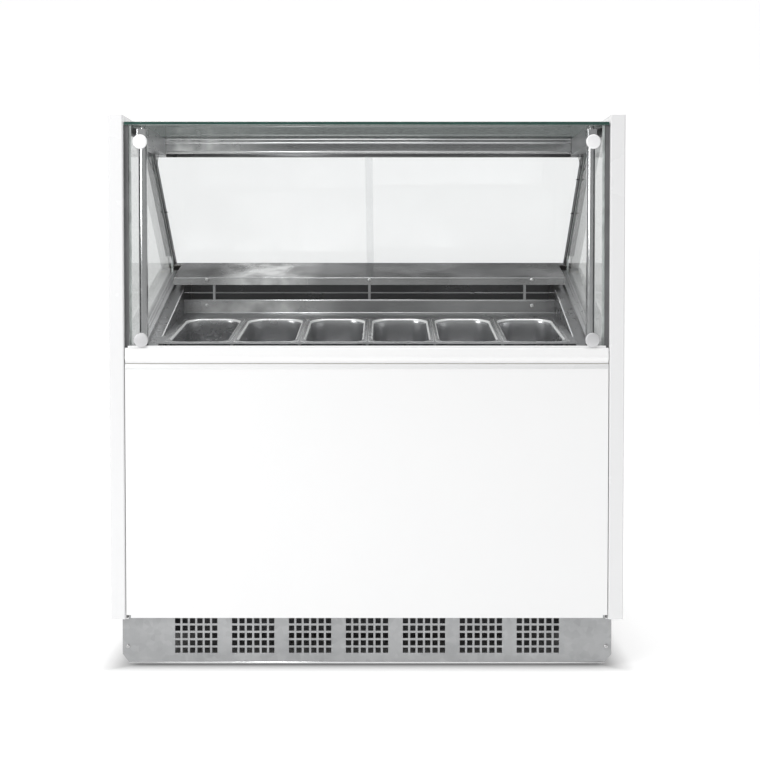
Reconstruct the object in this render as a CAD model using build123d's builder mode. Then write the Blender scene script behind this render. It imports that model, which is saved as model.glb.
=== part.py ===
from build123d import *
import math
import os

# Ice cream dipping cabinet: a free-standing serving counter with six inclined pans under a glass display.
# X runs across the front, -Y faces the customer, +Z is up. The origin is on the floor, under the middle.

# ---- driving dimensions, in millimetres ----
WIDTH = 1250
DEPTH = 800
HEIGHT = 1350
FRONT = -DEPTH / 2
BACK = DEPTH / 2

POST_WIDTH = 36
POST_DEPTH = 40
POST_X = WIDTH / 2 - POST_WIDTH        # inner face of the front posts
DECK_Z = 124                           # top of the base deck, on which the body stands
DECK_T = 3
DECK_FRONT = FRONT + 26.5
SHEET = 1.5                            # usual sheet thickness

PANEL_HALF = 587                       # front panel and rail half width
PANEL_Y = FRONT + 2
PANEL_BOTTOM = 127
PANEL_TOP = 736
STRIP_TOP = 748
RAIL_BOTTOM = 752
RAIL_TOP = 787
RAIL_BACK = FRONT + 46

SIDE_OUTER = 620                       # outer and inner limits of the folded side panels
SIDE_INNER = 586
BODY_HALF = 585                        # half width of the foamed body
BODY_FRONT = FRONT + 6
BODY_BACK = 310
BODY_BOTTOM = 580
WELL_HALF = 522
WELL_FRONT = RAIL_BACK
WELL_BACK = 251
WELL_FLOOR = 640

SILL_ANGLE = 17.9                      # slope of the side sills, rising to the rear
SILL_TAN = math.tan(math.radians(SILL_ANGLE))
SILL_START_Z = 773                     # foam top at the front of the well
SILL_LEN = 632
SILL_INNER = 549

PAN_COUNT = 6
PAN_PITCH = 168
PAN_W = 165
PAN_L = 360
PAN_DEEP = 120
PAN_SHEET = 1.2
PAN_TILT = 7.5
PAN_FRONT_Y = -340
PAN_FRONT_Z = 797

WALL_Y = 100                           # air wall behind the pans
LEDGE_Z = 957

GLASS_TOP = 1326
SIDE_GLASS_X = 572
SIDE_GLASS_T = 6
DOOR_TOP_Y = -67                       # top of the slanted door plane
DOOR_TOP_Z = 1277
DOOR_DROP_Y = 336
DOOR_DROP_Z = 279
DOOR_T = 5
DOOR_OVERLAP = 20
DOOR_OUTER = 585

TUBE_X = 548
TUBE_Y = FRONT + 41
TUBE_R = 11
CAP_LOW_Z = 806
CAP_HIGH_Z = 1286

SHELF_Z = 985
SHELF_FRONT = 346
REAR_Y = 388                           # outer face of the rear panels

FOOT_X = 560
KICK_SCREW_X = 588
KICK_SCREW_Z = 51
FOOT_FRONT_Y = -310
FOOT_REAR_Y = 320

os.makedirs("parts", exist_ok=True)
SIDES = (("left", -1), ("right", 1))


def save(piece, name):
    """Label a finished piece and write its STEP file."""
    piece.part.label = name
    export_step(piece.part, f"parts/{name}.step")


def sill_z(y):
    """Height of the foam top under the side sills at a depth y."""
    return SILL_START_Z + (y - WELL_FRONT) * SILL_TAN


def tilted_plane(y, z, degrees):
    """Plane with its own y axis rising to the rear by an angle."""
    angle = math.radians(degrees)
    return Plane(origin=(0, y, z), x_dir=(1, 0, 0), z_dir=(0, -math.sin(angle), math.cos(angle)))


pan_plane = tilted_plane(PAN_FRONT_Y, PAN_FRONT_Z, PAN_TILT)
sill_plane = tilted_plane(WELL_FRONT, SILL_START_Z, SILL_ANGLE)
door_length = math.hypot(DOOR_DROP_Y, DOOR_DROP_Z)
door_plane = Plane(
    origin=(0, DOOR_TOP_Y, DOOR_TOP_Z),
    x_dir=(1, 0, 0),
    z_dir=(0, DOOR_DROP_Z / door_length, DOOR_DROP_Y / door_length),
)


def door_point(along, out):
    """Depth and height of a point on the slanted door plane, along it and out from it."""
    spot = door_plane.from_local_coords(Vector(0, along, out))
    return (spot.Y, spot.Z)


# ---- base frame, feet and kick plate ----
BEAM_W = 40
BEAM_H = 60
BEAM_Z = DECK_Z - DECK_T - BEAM_H / 2
CROSS_FRONT = -270
CROSS_REAR = 350
STEM_R = 6
STEM_CLEAR = 0.06
BEAM_BOTTOM = BEAM_Z - BEAM_H / 2

with BuildPart() as base_frame:
    for side in (-1, 1):
        with BuildSketch(Plane.XZ.offset(-DECK_FRONT)):
            with Locations((side * FOOT_X, BEAM_Z)):
                Rectangle(BEAM_W, BEAM_H)
                Rectangle(BEAM_W - 6, BEAM_H - 6, mode=Mode.SUBTRACT)
        extrude(amount=-(REAR_Y - 8 - DECK_FRONT))
        with Locations((side * (KICK_SCREW_X - 2), DECK_FRONT + 1.5, BEAM_BOTTOM + 5)):
            Box(28, 3, 50)
    for y in (CROSS_FRONT, CROSS_REAR):
        with Locations((0, y, BEAM_Z)):
            Box(2 * FOOT_X - BEAM_W, BEAM_W, BEAM_H)
            Box(2 * FOOT_X - BEAM_W, BEAM_W - 6, BEAM_H - 6, mode=Mode.SUBTRACT)
    with BuildSketch(Plane.XY.offset(DECK_Z - DECK_T)):
        with BuildLine():
            Polyline(
                (-SIDE_OUTER, DECK_FRONT), (SIDE_OUTER, DECK_FRONT), (SIDE_OUTER, REAR_Y),
                (-SIDE_OUTER, REAR_Y), close=True,
            )
        make_face()
        with GridLocations(420, 0, 2, 1):
            with Locations((0, -120)):
                SlotOverall(200, 90, mode=Mode.SUBTRACT)
    extrude(amount=DECK_T)
    with Locations((FOOT_X, FOOT_FRONT_Y, 0), (-FOOT_X, FOOT_FRONT_Y, 0),
                   (FOOT_X, FOOT_REAR_Y, 0), (-FOOT_X, FOOT_REAR_Y, 0)):
        Cylinder(STEM_R + STEM_CLEAR, BEAM_BOTTOM + 30, align=(Align.CENTER, Align.CENTER, Align.MIN),
                 mode=Mode.SUBTRACT)
    with Locations((KICK_SCREW_X, DECK_FRONT, KICK_SCREW_Z), (-KICK_SCREW_X, DECK_FRONT, KICK_SCREW_Z)):
        Cylinder(2, 20, rotation=(90, 0, 0), mode=Mode.SUBTRACT)
save(base_frame, "base_frame")


def levelling_foot(x, y):
    """Round foot with a threaded stem, a hexagon for the spanner and a ribbed tread."""
    with BuildPart() as foot:
        with BuildSketch(Plane.XZ.offset(-y)):
            with BuildLine():
                Polyline(
                    (x, 0), (x + 19, 0), (x + 21, 3), (x + 21, 9), (x + 13, 16),
                    (x + STEM_R, 18), (x + STEM_R, 84), (x, 84), close=True,
                )
            make_face()
        revolve(axis=Axis((x, y, 0), (0, 0, 1)))
        with BuildSketch(Plane.XY.offset(34)):
            with Locations((x, y)):
                RegularPolygon(11, 6)
        extrude(amount=9)
    return foot


for side_name, side in SIDES:
    for end_name, end_y in (("front", FOOT_FRONT_Y), ("rear", FOOT_REAR_Y)):
        save(levelling_foot(side * FOOT_X, end_y), f"foot_{end_name}_{side_name}")

KICK_HALF = 601
KICK_BOTTOM = 8
KICK_TOP = 150
KICK_SHOULDER = 119
HOLE = 13.2
HOLE_PITCH = 18.2
HOLE_GROUPS = 7
GROUP_PITCH = 140
HOLE_ROWS = 6
FIRST_HOLE_Z = 34.5 + HOLE / 2

with BuildPart() as kick_plate:
    with BuildSketch(Plane.XZ.offset(-DECK_FRONT)):
        with BuildLine():
            Polyline(
                (-KICK_HALF + 18, KICK_BOTTOM), (KICK_HALF - 18, KICK_BOTTOM),
                (KICK_HALF, KICK_BOTTOM + 24), (KICK_HALF, KICK_SHOULDER),
                (PANEL_HALF - 1, KICK_SHOULDER), (PANEL_HALF - 1, KICK_TOP),
                (-PANEL_HALF + 1, KICK_TOP), (-PANEL_HALF + 1, KICK_SHOULDER),
                (-KICK_HALF, KICK_SHOULDER), (-KICK_HALF, KICK_BOTTOM + 24), close=True,
            )
        make_face()
        holes_z = FIRST_HOLE_Z + HOLE_PITCH * (HOLE_ROWS - 1) / 2
        with Locations((0, holes_z)):
            with GridLocations(GROUP_PITCH, 0, HOLE_GROUPS, 1):
                with GridLocations(HOLE_PITCH, HOLE_PITCH, 6, HOLE_ROWS):
                    Rectangle(HOLE, HOLE, mode=Mode.SUBTRACT)
        with Locations((KICK_SCREW_X, KICK_SCREW_Z), (-KICK_SCREW_X, KICK_SCREW_Z)):
            Circle(2.3, mode=Mode.SUBTRACT)
    extrude(amount=SHEET)
    with Locations((0, DECK_FRONT - SHEET, KICK_BOTTOM)):
        Box(2 * KICK_HALF - 40, 28, SHEET, align=(Align.CENTER, Align.MIN, Align.MIN))
save(kick_plate, "kick_plate")

# ---- white front: folded panel, rail ----
PANEL_RETURN = 18
NOTCH_W = 11
NOTCH_H = 7

with BuildPart() as front_panel:
    with BuildSketch(Plane.XZ.offset(-PANEL_Y)):
        with BuildLine():
            Polyline(
                (-PANEL_HALF + NOTCH_W, PANEL_BOTTOM), (PANEL_HALF - NOTCH_W, PANEL_BOTTOM),
                (PANEL_HALF - NOTCH_W, PANEL_BOTTOM + NOTCH_H), (PANEL_HALF, PANEL_BOTTOM + NOTCH_H),
                (PANEL_HALF, STRIP_TOP), (-PANEL_HALF, STRIP_TOP),
                (-PANEL_HALF, PANEL_BOTTOM + NOTCH_H),
                (-PANEL_HALF + NOTCH_W, PANEL_BOTTOM + NOTCH_H), close=True,
            )
        make_face()
    extrude(amount=-PANEL_RETURN)
    with Locations((0, PANEL_Y + 1.2, PANEL_BOTTOM + NOTCH_H + 1)):
        Box(2 * PANEL_HALF - 2.4, 60, 700, align=(Align.CENTER, Align.MIN, Align.MIN), mode=Mode.SUBTRACT)
    with Locations((0, PANEL_Y + 1.2, PANEL_BOTTOM + 1.2)):
        Box(2 * (PANEL_HALF - NOTCH_W) - 2.4, 60, 40, align=(Align.CENTER, Align.MIN, Align.MIN),
            mode=Mode.SUBTRACT)
    with Locations((0, PANEL_Y, PANEL_TOP)):
        Box(2 * PANEL_HALF, 0.6, 1.2, align=(Align.CENTER, Align.MIN, Align.CENTER), mode=Mode.SUBTRACT)
    front_edges = front_panel.edges().filter_by(Axis.X).group_by(Axis.Y)[0].group_by(Axis.Z)[-1]
    chamfer(front_edges, length=0.5)
save(front_panel, "front_panel")

LIP_HALF = 581

with BuildPart() as front_rail:
    with BuildSketch(Plane.YZ):
        with BuildLine():
            Polyline(
                (BODY_FRONT, STRIP_TOP + 1), (BODY_FRONT - 1, STRIP_TOP + 1), (BODY_FRONT - 1, RAIL_BOTTOM),
                (FRONT + 1.6, RAIL_BOTTOM + 8), (FRONT, RAIL_BOTTOM + 11.5),
                (FRONT + 1.5, RAIL_BOTTOM + 15), (FRONT + 2, RAIL_TOP - 3), (FRONT + 4.5, RAIL_TOP),
                (RAIL_BACK, RAIL_TOP), (RAIL_BACK, SILL_START_Z), (BODY_FRONT, SILL_START_Z), close=True,
            )
        make_face()
    extrude(amount=PANEL_HALF, both=True)
    with BuildSketch(Plane.YZ):
        with Locations((FRONT + 9.5, RAIL_TOP + 2.5)):
            Rectangle(3, 5)
    extrude(amount=LIP_HALF, both=True)
    with Locations((0, BODY_FRONT + 20, (SILL_START_Z + RAIL_TOP) / 2)):
        Box(2 * PANEL_HALF - 3, 34, 10, mode=Mode.SUBTRACT)
save(front_rail, "front_rail")

# ---- white side frames: post, top rail and slanted rear leg, welded ----
POST_WALL = 2.5                        # wall of the hollow posts
FRAME_IN = 24                          # thickness of the top rail and leg along X
LEG_W = 40
LEG_OUT = -2                           # front edge of the leg, out from the door plane
SIDE_FLAT_Y = WELL_FRONT + (SHELF_Z - SILL_START_Z) / SILL_TAN


def leg_point(out, z):
    """Point at height z on a line parallel to the slanted door plane, out from it."""
    y, top = door_point(0, out)
    return (y + (top - z) * DOOR_DROP_Y / DOOR_DROP_Z, z)


def side_frame(side):
    """One welded frame; the leg runs down the slanted edge of the display to the side panel."""
    y_front, _ = leg_point(LEG_OUT, SHELF_Z)
    slope = DOOR_DROP_Y / DOOR_DROP_Z
    foot_z = (sill_z(y_front) + SILL_TAN * slope * SHELF_Z) / (1 + SILL_TAN * slope)
    with BuildPart() as frame:
        with BuildSketch(Plane.XY.offset(DECK_Z)):
            with BuildLine():
                Polyline(
                    (side * POST_X, FRONT), (side * WIDTH / 2, FRONT),
                    (side * WIDTH / 2, FRONT + POST_DEPTH), (side * POST_X, FRONT + POST_DEPTH), close=True,
                )
            make_face()
        extrude(amount=HEIGHT - DECK_Z)
        long_edges = frame.edges().filter_by(Axis.Z).group_by(Axis.Y)[0]
        chamfer(long_edges, length=2.5)
        with Locations((side * (WIDTH + 2 * POST_X) / 4, FRONT + POST_DEPTH / 2, DECK_Z)):
            Box(POST_WIDTH - 2 * POST_WALL, POST_DEPTH - 2 * POST_WALL, HEIGHT - DECK_Z - POST_WALL,
                align=(Align.CENTER, Align.CENTER, Align.MIN), mode=Mode.SUBTRACT)
        with BuildSketch(Plane.YZ.offset(side * POST_X)):
            with BuildLine():
                Polyline(
                    (FRONT + POST_DEPTH - 4, HEIGHT), leg_point(LEG_OUT + LEG_W, HEIGHT),
                    leg_point(LEG_OUT + LEG_W, SHELF_Z), (SIDE_FLAT_Y, SHELF_Z), leg_point(LEG_OUT, foot_z),
                    leg_point(LEG_OUT, GLASS_TOP), (FRONT + POST_DEPTH - 4, GLASS_TOP), close=True,
                )
            make_face()
        extrude(amount=side * FRAME_IN)
    return frame


for side_name, side in SIDES:
    save(side_frame(side), f"side_frame_{side_name}")

# ---- side panels, foamed body, liner ----

def side_panel(side):
    """Folded side sheet with returns, open towards the inside; its top follows the sill."""
    front_y = FRONT + POST_DEPTH
    rear_y = REAR_Y - 2
    rim = (
        (front_y, DECK_Z), (rear_y, DECK_Z), (rear_y, SHELF_Z), (SIDE_FLAT_Y, SHELF_Z),
        (front_y, sill_z(front_y)),
    )
    with BuildPart() as panel:
        with BuildSketch(Plane.YZ.offset(side * SIDE_INNER)):
            with BuildLine():
                Polyline(*rim, close=True)
            make_face()
        extrude(amount=side * (SIDE_OUTER - SIDE_INNER))
        with BuildSketch(Plane.YZ.offset(side * (SIDE_OUTER - SHEET))):
            with BuildLine():
                Polyline(*rim, close=True)
            make_face()
            offset(amount=-SHEET, mode=Mode.REPLACE)
        extrude(amount=-side * SIDE_OUTER, mode=Mode.SUBTRACT)
    return panel


for side_name, side in SIDES:
    save(side_panel(side), f"side_panel_{side_name}")

PIPE_HOLE_X = 300
PIPE_HOLE_Z = 700
DRAIN_Y = 200
DRAIN_R = 10
LINER_T = 1.5
FOAM_REAR_Z = 975

with BuildPart() as insulation_body:
    with BuildSketch(Plane.YZ):
        with BuildLine():
            Polyline(
                (BODY_FRONT, BODY_BOTTOM), (BODY_BACK, BODY_BOTTOM), (BODY_BACK, FOAM_REAR_Z),
                (WELL_BACK, sill_z(WELL_BACK)), (WELL_FRONT, SILL_START_Z), (BODY_FRONT, SILL_START_Z),
                close=True,
            )
        make_face()
    extrude(amount=BODY_HALF, both=True)
    with Locations((0, (WELL_FRONT + WELL_BACK) / 2, WELL_FLOOR)):
        Box(2 * WELL_HALF, WELL_BACK - WELL_FRONT, 500, align=(Align.CENTER, Align.CENTER, Align.MIN),
            mode=Mode.SUBTRACT)
    with Locations((PIPE_HOLE_X, BODY_BACK, PIPE_HOLE_Z)):
        Cylinder(14, 200, rotation=(90, 0, 0), mode=Mode.SUBTRACT)
    with Locations((0, DRAIN_Y, BODY_BOTTOM)):
        Cylinder(DRAIN_R + 0.3, 200, mode=Mode.SUBTRACT)
    with Locations((0, BODY_FRONT, BODY_BOTTOM)):
        Box(2 * BODY_HALF, 10, 2 * (STRIP_TOP - BODY_BOTTOM) + 2, mode=Mode.SUBTRACT)
save(insulation_body, "insulation_body")

with BuildPart() as inner_liner:
    with BuildSketch(Plane.YZ):
        with BuildLine():
            Polyline(
                (WELL_FRONT, WELL_FLOOR), (WELL_BACK, WELL_FLOOR), (WELL_BACK, sill_z(WELL_BACK) + LINER_T),
                (WELL_FRONT, SILL_START_Z + LINER_T), close=True,
            )
        make_face()
    extrude(amount=WELL_HALF, both=True)
    with BuildSketch(Plane.YZ):
        with BuildLine():
            Polyline(
                (WELL_FRONT, SILL_START_Z), (WELL_BACK, sill_z(WELL_BACK)),
                (WELL_BACK, sill_z(WELL_BACK) + LINER_T), (WELL_FRONT, SILL_START_Z + LINER_T), close=True,
            )
        make_face()
    extrude(amount=SILL_INNER - 0.5, both=True)
    with Locations((0, (WELL_FRONT + WELL_BACK) / 2, WELL_FLOOR + LINER_T)):
        Box(2 * (WELL_HALF - LINER_T), WELL_BACK - WELL_FRONT - 2 * LINER_T, 500,
            align=(Align.CENTER, Align.CENTER, Align.MIN), mode=Mode.SUBTRACT)
    with Locations((PIPE_HOLE_X, WELL_BACK, PIPE_HOLE_Z)):
        Cylinder(14, 20, rotation=(90, 0, 0), mode=Mode.SUBTRACT)
    with Locations((0, DRAIN_Y, WELL_FLOOR)):
        Cylinder(DRAIN_R - 2, 20, mode=Mode.SUBTRACT)
save(inner_liner, "inner_liner")

SILL_H = 11.4
FIRST_GROOVE = 10                      # from the inner edge to the first of the grooves along a sill
GROOVE_COUNT = 2
GROOVE_PITCH = 6.5
GROOVE = 2
GLASS_SEAT = 5

with BuildPart() as side_sills:
    for side in (-1, 1):
        with BuildSketch(Plane(sill_plane.origin, x_dir=(1, 0, 0), z_dir=sill_plane.y_dir)):
            with BuildLine():
                Polyline(
                    (side * SILL_INNER, 0), (side * SILL_INNER, -SILL_H),
                    (side * (SIDE_GLASS_X - 0.3), -SILL_H), (side * (SIDE_GLASS_X - 0.3), -GLASS_SEAT),
                    (side * BODY_HALF, -GLASS_SEAT), (side * BODY_HALF, 0), close=True,
                )
            make_face()
            for groove in range(GROOVE_COUNT):
                with Locations((side * (SILL_INNER + FIRST_GROOVE + groove * GROOVE_PITCH), -SILL_H)):
                    Rectangle(GROOVE, 4, mode=Mode.SUBTRACT)
        extrude(amount=SILL_LEN)
    with BuildSketch(Plane.YZ):
        with Locations((RAIL_BACK - 20, SILL_START_Z + 10)):
            Rectangle(41, 60)
    extrude(amount=WIDTH / 2, both=True, mode=Mode.SUBTRACT)
save(side_sills, "side_sills")

# ---- well: rear ledge, air wall, slot guard, pan support ----
LEDGE_LIP = 21
WALL_TOP = 895
SLOT_Z = 914
FAN_X = 250
FAN_Z = 770
FAN_OPENING = 82
LEDGE_END_Y = DOOR_TOP_Y + DOOR_DROP_Y
LEDGE_END_Z = DOOR_TOP_Z - DOOR_DROP_Z
LEDGE_SLOPE = (LEDGE_END_Z - LEDGE_Z) / (LEDGE_END_Y - WALL_Y)
TRACK_TOP = 0                          # ends of the door tracks, measured along the slanted plane
TRACK_BOTTOM = 503
TRACK_DEEP = 20
TRACK_FACE = 20                        # front face of the tracks, out from the slanted plane
SILL_END_Y = WELL_FRONT + SILL_LEN * math.cos(math.radians(SILL_ANGLE))
CABLE_X = 569.5
CABLE_R = 2
WALL_HALF = WELL_HALF - LINER_T - 0.5

track_front = TRACK_BOTTOM - TRACK_DEEP
fold_y = DOOR_TOP_Y + 366
wing_y = SILL_END_Y + 1
wing_z = LEDGE_Z + LEDGE_SLOPE * (wing_y - WALL_Y)
LEDGE_TOP = ((LEDGE_END_Y, LEDGE_END_Z), (fold_y, LEDGE_END_Z), door_point(track_front, TRACK_FACE - 0.2))
LEDGE_UNDER = (
    door_point(track_front, TRACK_FACE - 0.2 - SHEET), (fold_y - SHEET / 2, LEDGE_END_Z - SHEET),
    (LEDGE_END_Y, LEDGE_END_Z - SHEET),
)

with BuildPart() as rear_ledge:
    with BuildSketch(Plane.YZ):
        with BuildLine():
            Polyline(
                (WALL_Y, LEDGE_Z - LEDGE_LIP), (WALL_Y, LEDGE_Z), *LEDGE_TOP, *LEDGE_UNDER,
                (WALL_Y + SHEET, LEDGE_Z - SHEET), (WALL_Y + SHEET, LEDGE_Z - LEDGE_LIP), close=True,
            )
        make_face()
    extrude(amount=SILL_INNER - 0.6, both=True)
    with BuildSketch(Plane.YZ):
        with BuildLine():
            Polyline((wing_y, wing_z), *LEDGE_TOP, *LEDGE_UNDER, (wing_y, wing_z - SHEET), close=True)
        make_face()
    extrude(amount=BODY_HALF, both=True)
    with Locations((CABLE_X, LEDGE_END_Y - 9, LEDGE_END_Z), (-CABLE_X, LEDGE_END_Y - 9, LEDGE_END_Z)):
        Box(6, 14, 20, mode=Mode.SUBTRACT)
save(rear_ledge, "rear_ledge")

with BuildPart() as air_wall:
    with BuildSketch(Plane.XZ.offset(-WALL_Y)):
        with Locations((0, (WALL_TOP + WELL_FLOOR + LINER_T) / 2)):
            Rectangle(2 * WALL_HALF, WALL_TOP - WELL_FLOOR - LINER_T)
        with Locations((-FAN_X, FAN_Z), (FAN_X, FAN_Z)):
            Circle(FAN_OPENING, mode=Mode.SUBTRACT)
    extrude(amount=-SHEET)
    with Locations((0, WALL_Y + SHEET, WALL_TOP)):
        Box(2 * WALL_HALF, 14, SHEET, align=(Align.CENTER, Align.MIN, Align.MAX))
save(air_wall, "air_wall")

SPACER_X = 435

with BuildPart() as slot_guard:
    with BuildSketch(Plane.YZ):
        with Locations((WALL_Y + 8, SLOT_Z)):
            Circle(2)
    extrude(amount=WALL_HALF, both=True)
    for x in (-SPACER_X, 0, SPACER_X):
        with Locations((x, WALL_Y + 8, (WALL_TOP + LEDGE_Z) / 2 - 2)):
            Box(7, 6, LEDGE_Z - WALL_TOP - 6)
        with Locations((x, WALL_Y + 4, LEDGE_Z - 12)):
            Box(7, 5, 14)
        with Locations((x, WALL_Y + 8, WALL_TOP + 2)):
            Box(7, 6, 4)
save(slot_guard, "slot_guard")

BAR_W = 10
BAR_H = 8
SUPPORT_END = (WALL_Y - PAN_FRONT_Y) / math.cos(math.radians(PAN_TILT)) - 0.3

with BuildPart() as pan_support:
    with BuildSketch(pan_plane):
        with BuildLine():
            Polyline((-WALL_HALF, -12), (WALL_HALF, -12), (WALL_HALF, SUPPORT_END), (-WALL_HALF, SUPPORT_END),
                     close=True)
        make_face()
        with Locations((0, PAN_L / 2)):
            with GridLocations(PAN_PITCH, 0, PAN_COUNT, 1):
                Rectangle(PAN_PITCH - BAR_W, PAN_L - 16, mode=Mode.SUBTRACT)
    extrude(amount=-SHEET)
    with BuildSketch(pan_plane.offset(-SHEET)):
        with Locations((0, PAN_L / 2)):
            with GridLocations(PAN_PITCH, 0, PAN_COUNT - 1, 1):
                Rectangle(BAR_W - 4, PAN_L - 4)
    extrude(amount=-BAR_H)
save(pan_support, "pan_support")

# ---- pans ----
PAN_RIM_T = 1.5
PAN_FLANGE = 11
PAN_TAPER = 5
PAN_CORNER = 42
PAN_LIP_R = 16


def pan(x):
    """Deep-drawn pan: a flat flange with rounded corners and a tapered rounded tub below it."""
    with BuildPart() as tub:
        with BuildSketch(pan_plane.offset(0.05)):
            with Locations((x, PAN_L / 2)):
                RectangleRounded(PAN_W, PAN_L, PAN_LIP_R)
        extrude(amount=PAN_RIM_T)
        with BuildSketch(pan_plane.offset(0.05)):
            with Locations((x, PAN_L / 2)):
                RectangleRounded(PAN_W - 2 * PAN_FLANGE, PAN_L - 2 * PAN_FLANGE, PAN_CORNER)
        with BuildSketch(pan_plane.offset(-PAN_DEEP)):
            with Locations((x, PAN_L / 2)):
                RectangleRounded(PAN_W - 2 * (PAN_FLANGE + PAN_TAPER), PAN_L - 2 * (PAN_FLANGE + PAN_TAPER),
                                 PAN_CORNER - PAN_TAPER)
        loft()
        with BuildSketch(pan_plane.offset(PAN_RIM_T + 0.05)):
            with Locations((x, PAN_L / 2)):
                RectangleRounded(PAN_W - 2 * (PAN_FLANGE + PAN_SHEET), PAN_L - 2 * (PAN_FLANGE + PAN_SHEET),
                                 PAN_CORNER - PAN_SHEET)
        with BuildSketch(pan_plane.offset(-PAN_DEEP + PAN_SHEET)):
            with Locations((x, PAN_L / 2)):
                RectangleRounded(PAN_W - 2 * (PAN_FLANGE + PAN_TAPER + PAN_SHEET),
                                 PAN_L - 2 * (PAN_FLANGE + PAN_TAPER + PAN_SHEET),
                                 PAN_CORNER - PAN_TAPER - PAN_SHEET)
        loft(mode=Mode.SUBTRACT)
    return tub


for index in range(PAN_COUNT):
    save(pan((index - (PAN_COUNT - 1) / 2) * PAN_PITCH), f"pan_{index + 1}")

# ---- glass display ----
STUD_R = 5
GLASS_HOLE_R = 5.3
FRONT_GLASS_Y = FRONT + 12
FRONT_GLASS_T = 6
FRONT_GLASS_HALF = 578

with BuildPart() as front_glass:
    with BuildSketch(Plane.XZ.offset(-FRONT_GLASS_Y)):
        with Locations((0, (GLASS_TOP + RAIL_TOP) / 2)):
            Rectangle(2 * FRONT_GLASS_HALF, GLASS_TOP - RAIL_TOP)
        with Locations((-TUBE_X, CAP_LOW_Z), (TUBE_X, CAP_LOW_Z),
                       (-TUBE_X, CAP_HIGH_Z), (TUBE_X, CAP_HIGH_Z)):
            Circle(GLASS_HOLE_R, mode=Mode.SUBTRACT)
    extrude(amount=-FRONT_GLASS_T)
    chamfer(front_glass.edges().filter_by(Axis.Z), length=0.8)
save(front_glass, "front_glass")

TOP_GLASS_BACK = DOOR_TOP_Y + 17
TOP_GLASS_T = 8
TOP_GLASS_HALF = 586

with BuildPart() as top_glass:
    with BuildSketch(Plane.XY.offset(GLASS_TOP)):
        with BuildLine():
            Polyline(
                (-TOP_GLASS_HALF, FRONT + 2), (TOP_GLASS_HALF, FRONT + 2),
                (TOP_GLASS_HALF, TOP_GLASS_BACK), (-TOP_GLASS_HALF, TOP_GLASS_BACK), close=True,
            )
        make_face()
    extrude(amount=TOP_GLASS_T)
    chamfer(top_glass.edges().filter_by(Axis.X), length=0.8)
save(top_glass, "top_glass")

SIDE_GLASS_FRONT = FRONT_GLASS_Y + FRONT_GLASS_T + 2
SEAT_RISE = GLASS_SEAT / math.cos(math.radians(SILL_ANGLE))
SEAT_MEET_Y = WELL_FRONT + (RAIL_TOP - SILL_START_Z - SEAT_RISE) / SILL_TAN
side_rear_y = WELL_FRONT + SILL_LEN * math.cos(math.radians(SILL_ANGLE)) - 2
edge_slope = DOOR_DROP_Y / DOOR_DROP_Z
edge_top_y = DOOR_TOP_Y + (DOOR_TOP_Z - GLASS_TOP) * edge_slope
side_rear_z = sill_z(side_rear_y) + SEAT_RISE
side_knee_z = GLASS_TOP - (side_rear_y - edge_top_y) / edge_slope
SIDE_OUTLINE = (
    (SIDE_GLASS_FRONT, RAIL_TOP), (SEAT_MEET_Y, RAIL_TOP), (side_rear_y, side_rear_z),
    (side_rear_y, side_knee_z), (edge_top_y, GLASS_TOP), (SIDE_GLASS_FRONT, GLASS_TOP),
)
for side_name, side in SIDES:
    with BuildPart() as side_glass:
        with BuildSketch(Plane.YZ.offset(side * SIDE_GLASS_X)):
            with BuildLine():
                Polyline(*SIDE_OUTLINE, close=True)
            make_face()
        extrude(amount=side * SIDE_GLASS_T)
    save(side_glass, f"side_glass_{side_name}")

SEAL_W = 15
SEAL_X0 = SIDE_GLASS_X + SIDE_GLASS_T
SEAL_OUTER = POST_X

with BuildPart() as glass_seals:
    for side in (-1, 1):
        with BuildSketch(Plane.YZ.offset(side * SEAL_X0)):
            with BuildLine():
                Polyline(
                    (SIDE_GLASS_FRONT - 8, RAIL_TOP), (SIDE_GLASS_FRONT + SEAL_W, RAIL_TOP),
                    (SIDE_GLASS_FRONT + SEAL_W, GLASS_TOP - SEAL_W),
                    (edge_top_y - SEAL_W * 1.2, GLASS_TOP - SEAL_W),
                    (side_rear_y - SEAL_W * 1.9, side_knee_z), (side_rear_y, side_knee_z),
                    (edge_top_y, GLASS_TOP), (SIDE_GLASS_FRONT - 8, GLASS_TOP), close=True,
                )
            make_face()
        extrude(amount=side * (SEAL_OUTER - SEAL_X0))
save(glass_seals, "glass_seals")

# ---- slanted sliding doors and tracks ----
TRACK_WALL = 1.5
DOOR_SLOT = 8                          # distance between the two doors' planes
DOOR_PLAY = 0.8
DOOR_START = TRACK_TOP + 5
DOOR_END = TRACK_BOTTOM - TRACK_WALL - 0.5
INNER_OUT = TRACK_FACE + 3             # front face of each door, out from the door plane
OUTER_OUT = INNER_OUT + DOOR_SLOT
PULL_W = 14
PULL_WALL = 1


def door_pane(x0, x1, out):
    """Glass pane between two X values, lying on the slanted plane."""
    with BuildPart() as pane:
        with BuildSketch(door_plane.offset(out)):
            with Locations(((x0 + x1) / 2, (DOOR_START + DOOR_END) / 2)):
                Rectangle(x1 - x0, DOOR_END - DOOR_START)
        extrude(amount=DOOR_T)
    return pane


def door_pull(side, out):
    """U-shaped grip profile clipped over the outer edge of a door."""
    with BuildPart() as pull:
        with BuildSketch(door_plane.offset(out - PULL_WALL)):
            with Locations((side * (DOOR_OUTER + PULL_WALL - PULL_W / 2), (TRACK_TOP + TRACK_BOTTOM) / 2)):
                Rectangle(PULL_W, TRACK_BOTTOM - TRACK_TOP - 2 * TRACK_DEEP - 8)
        extrude(amount=DOOR_T + 2 * PULL_WALL)
        with BuildSketch(door_plane.offset(out)):
            with Locations((side * (DOOR_OUTER - PULL_W / 2), (TRACK_TOP + TRACK_BOTTOM) / 2)):
                Rectangle(PULL_W, TRACK_BOTTOM - TRACK_TOP)
        extrude(amount=DOOR_T, mode=Mode.SUBTRACT)
    return pull


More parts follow.
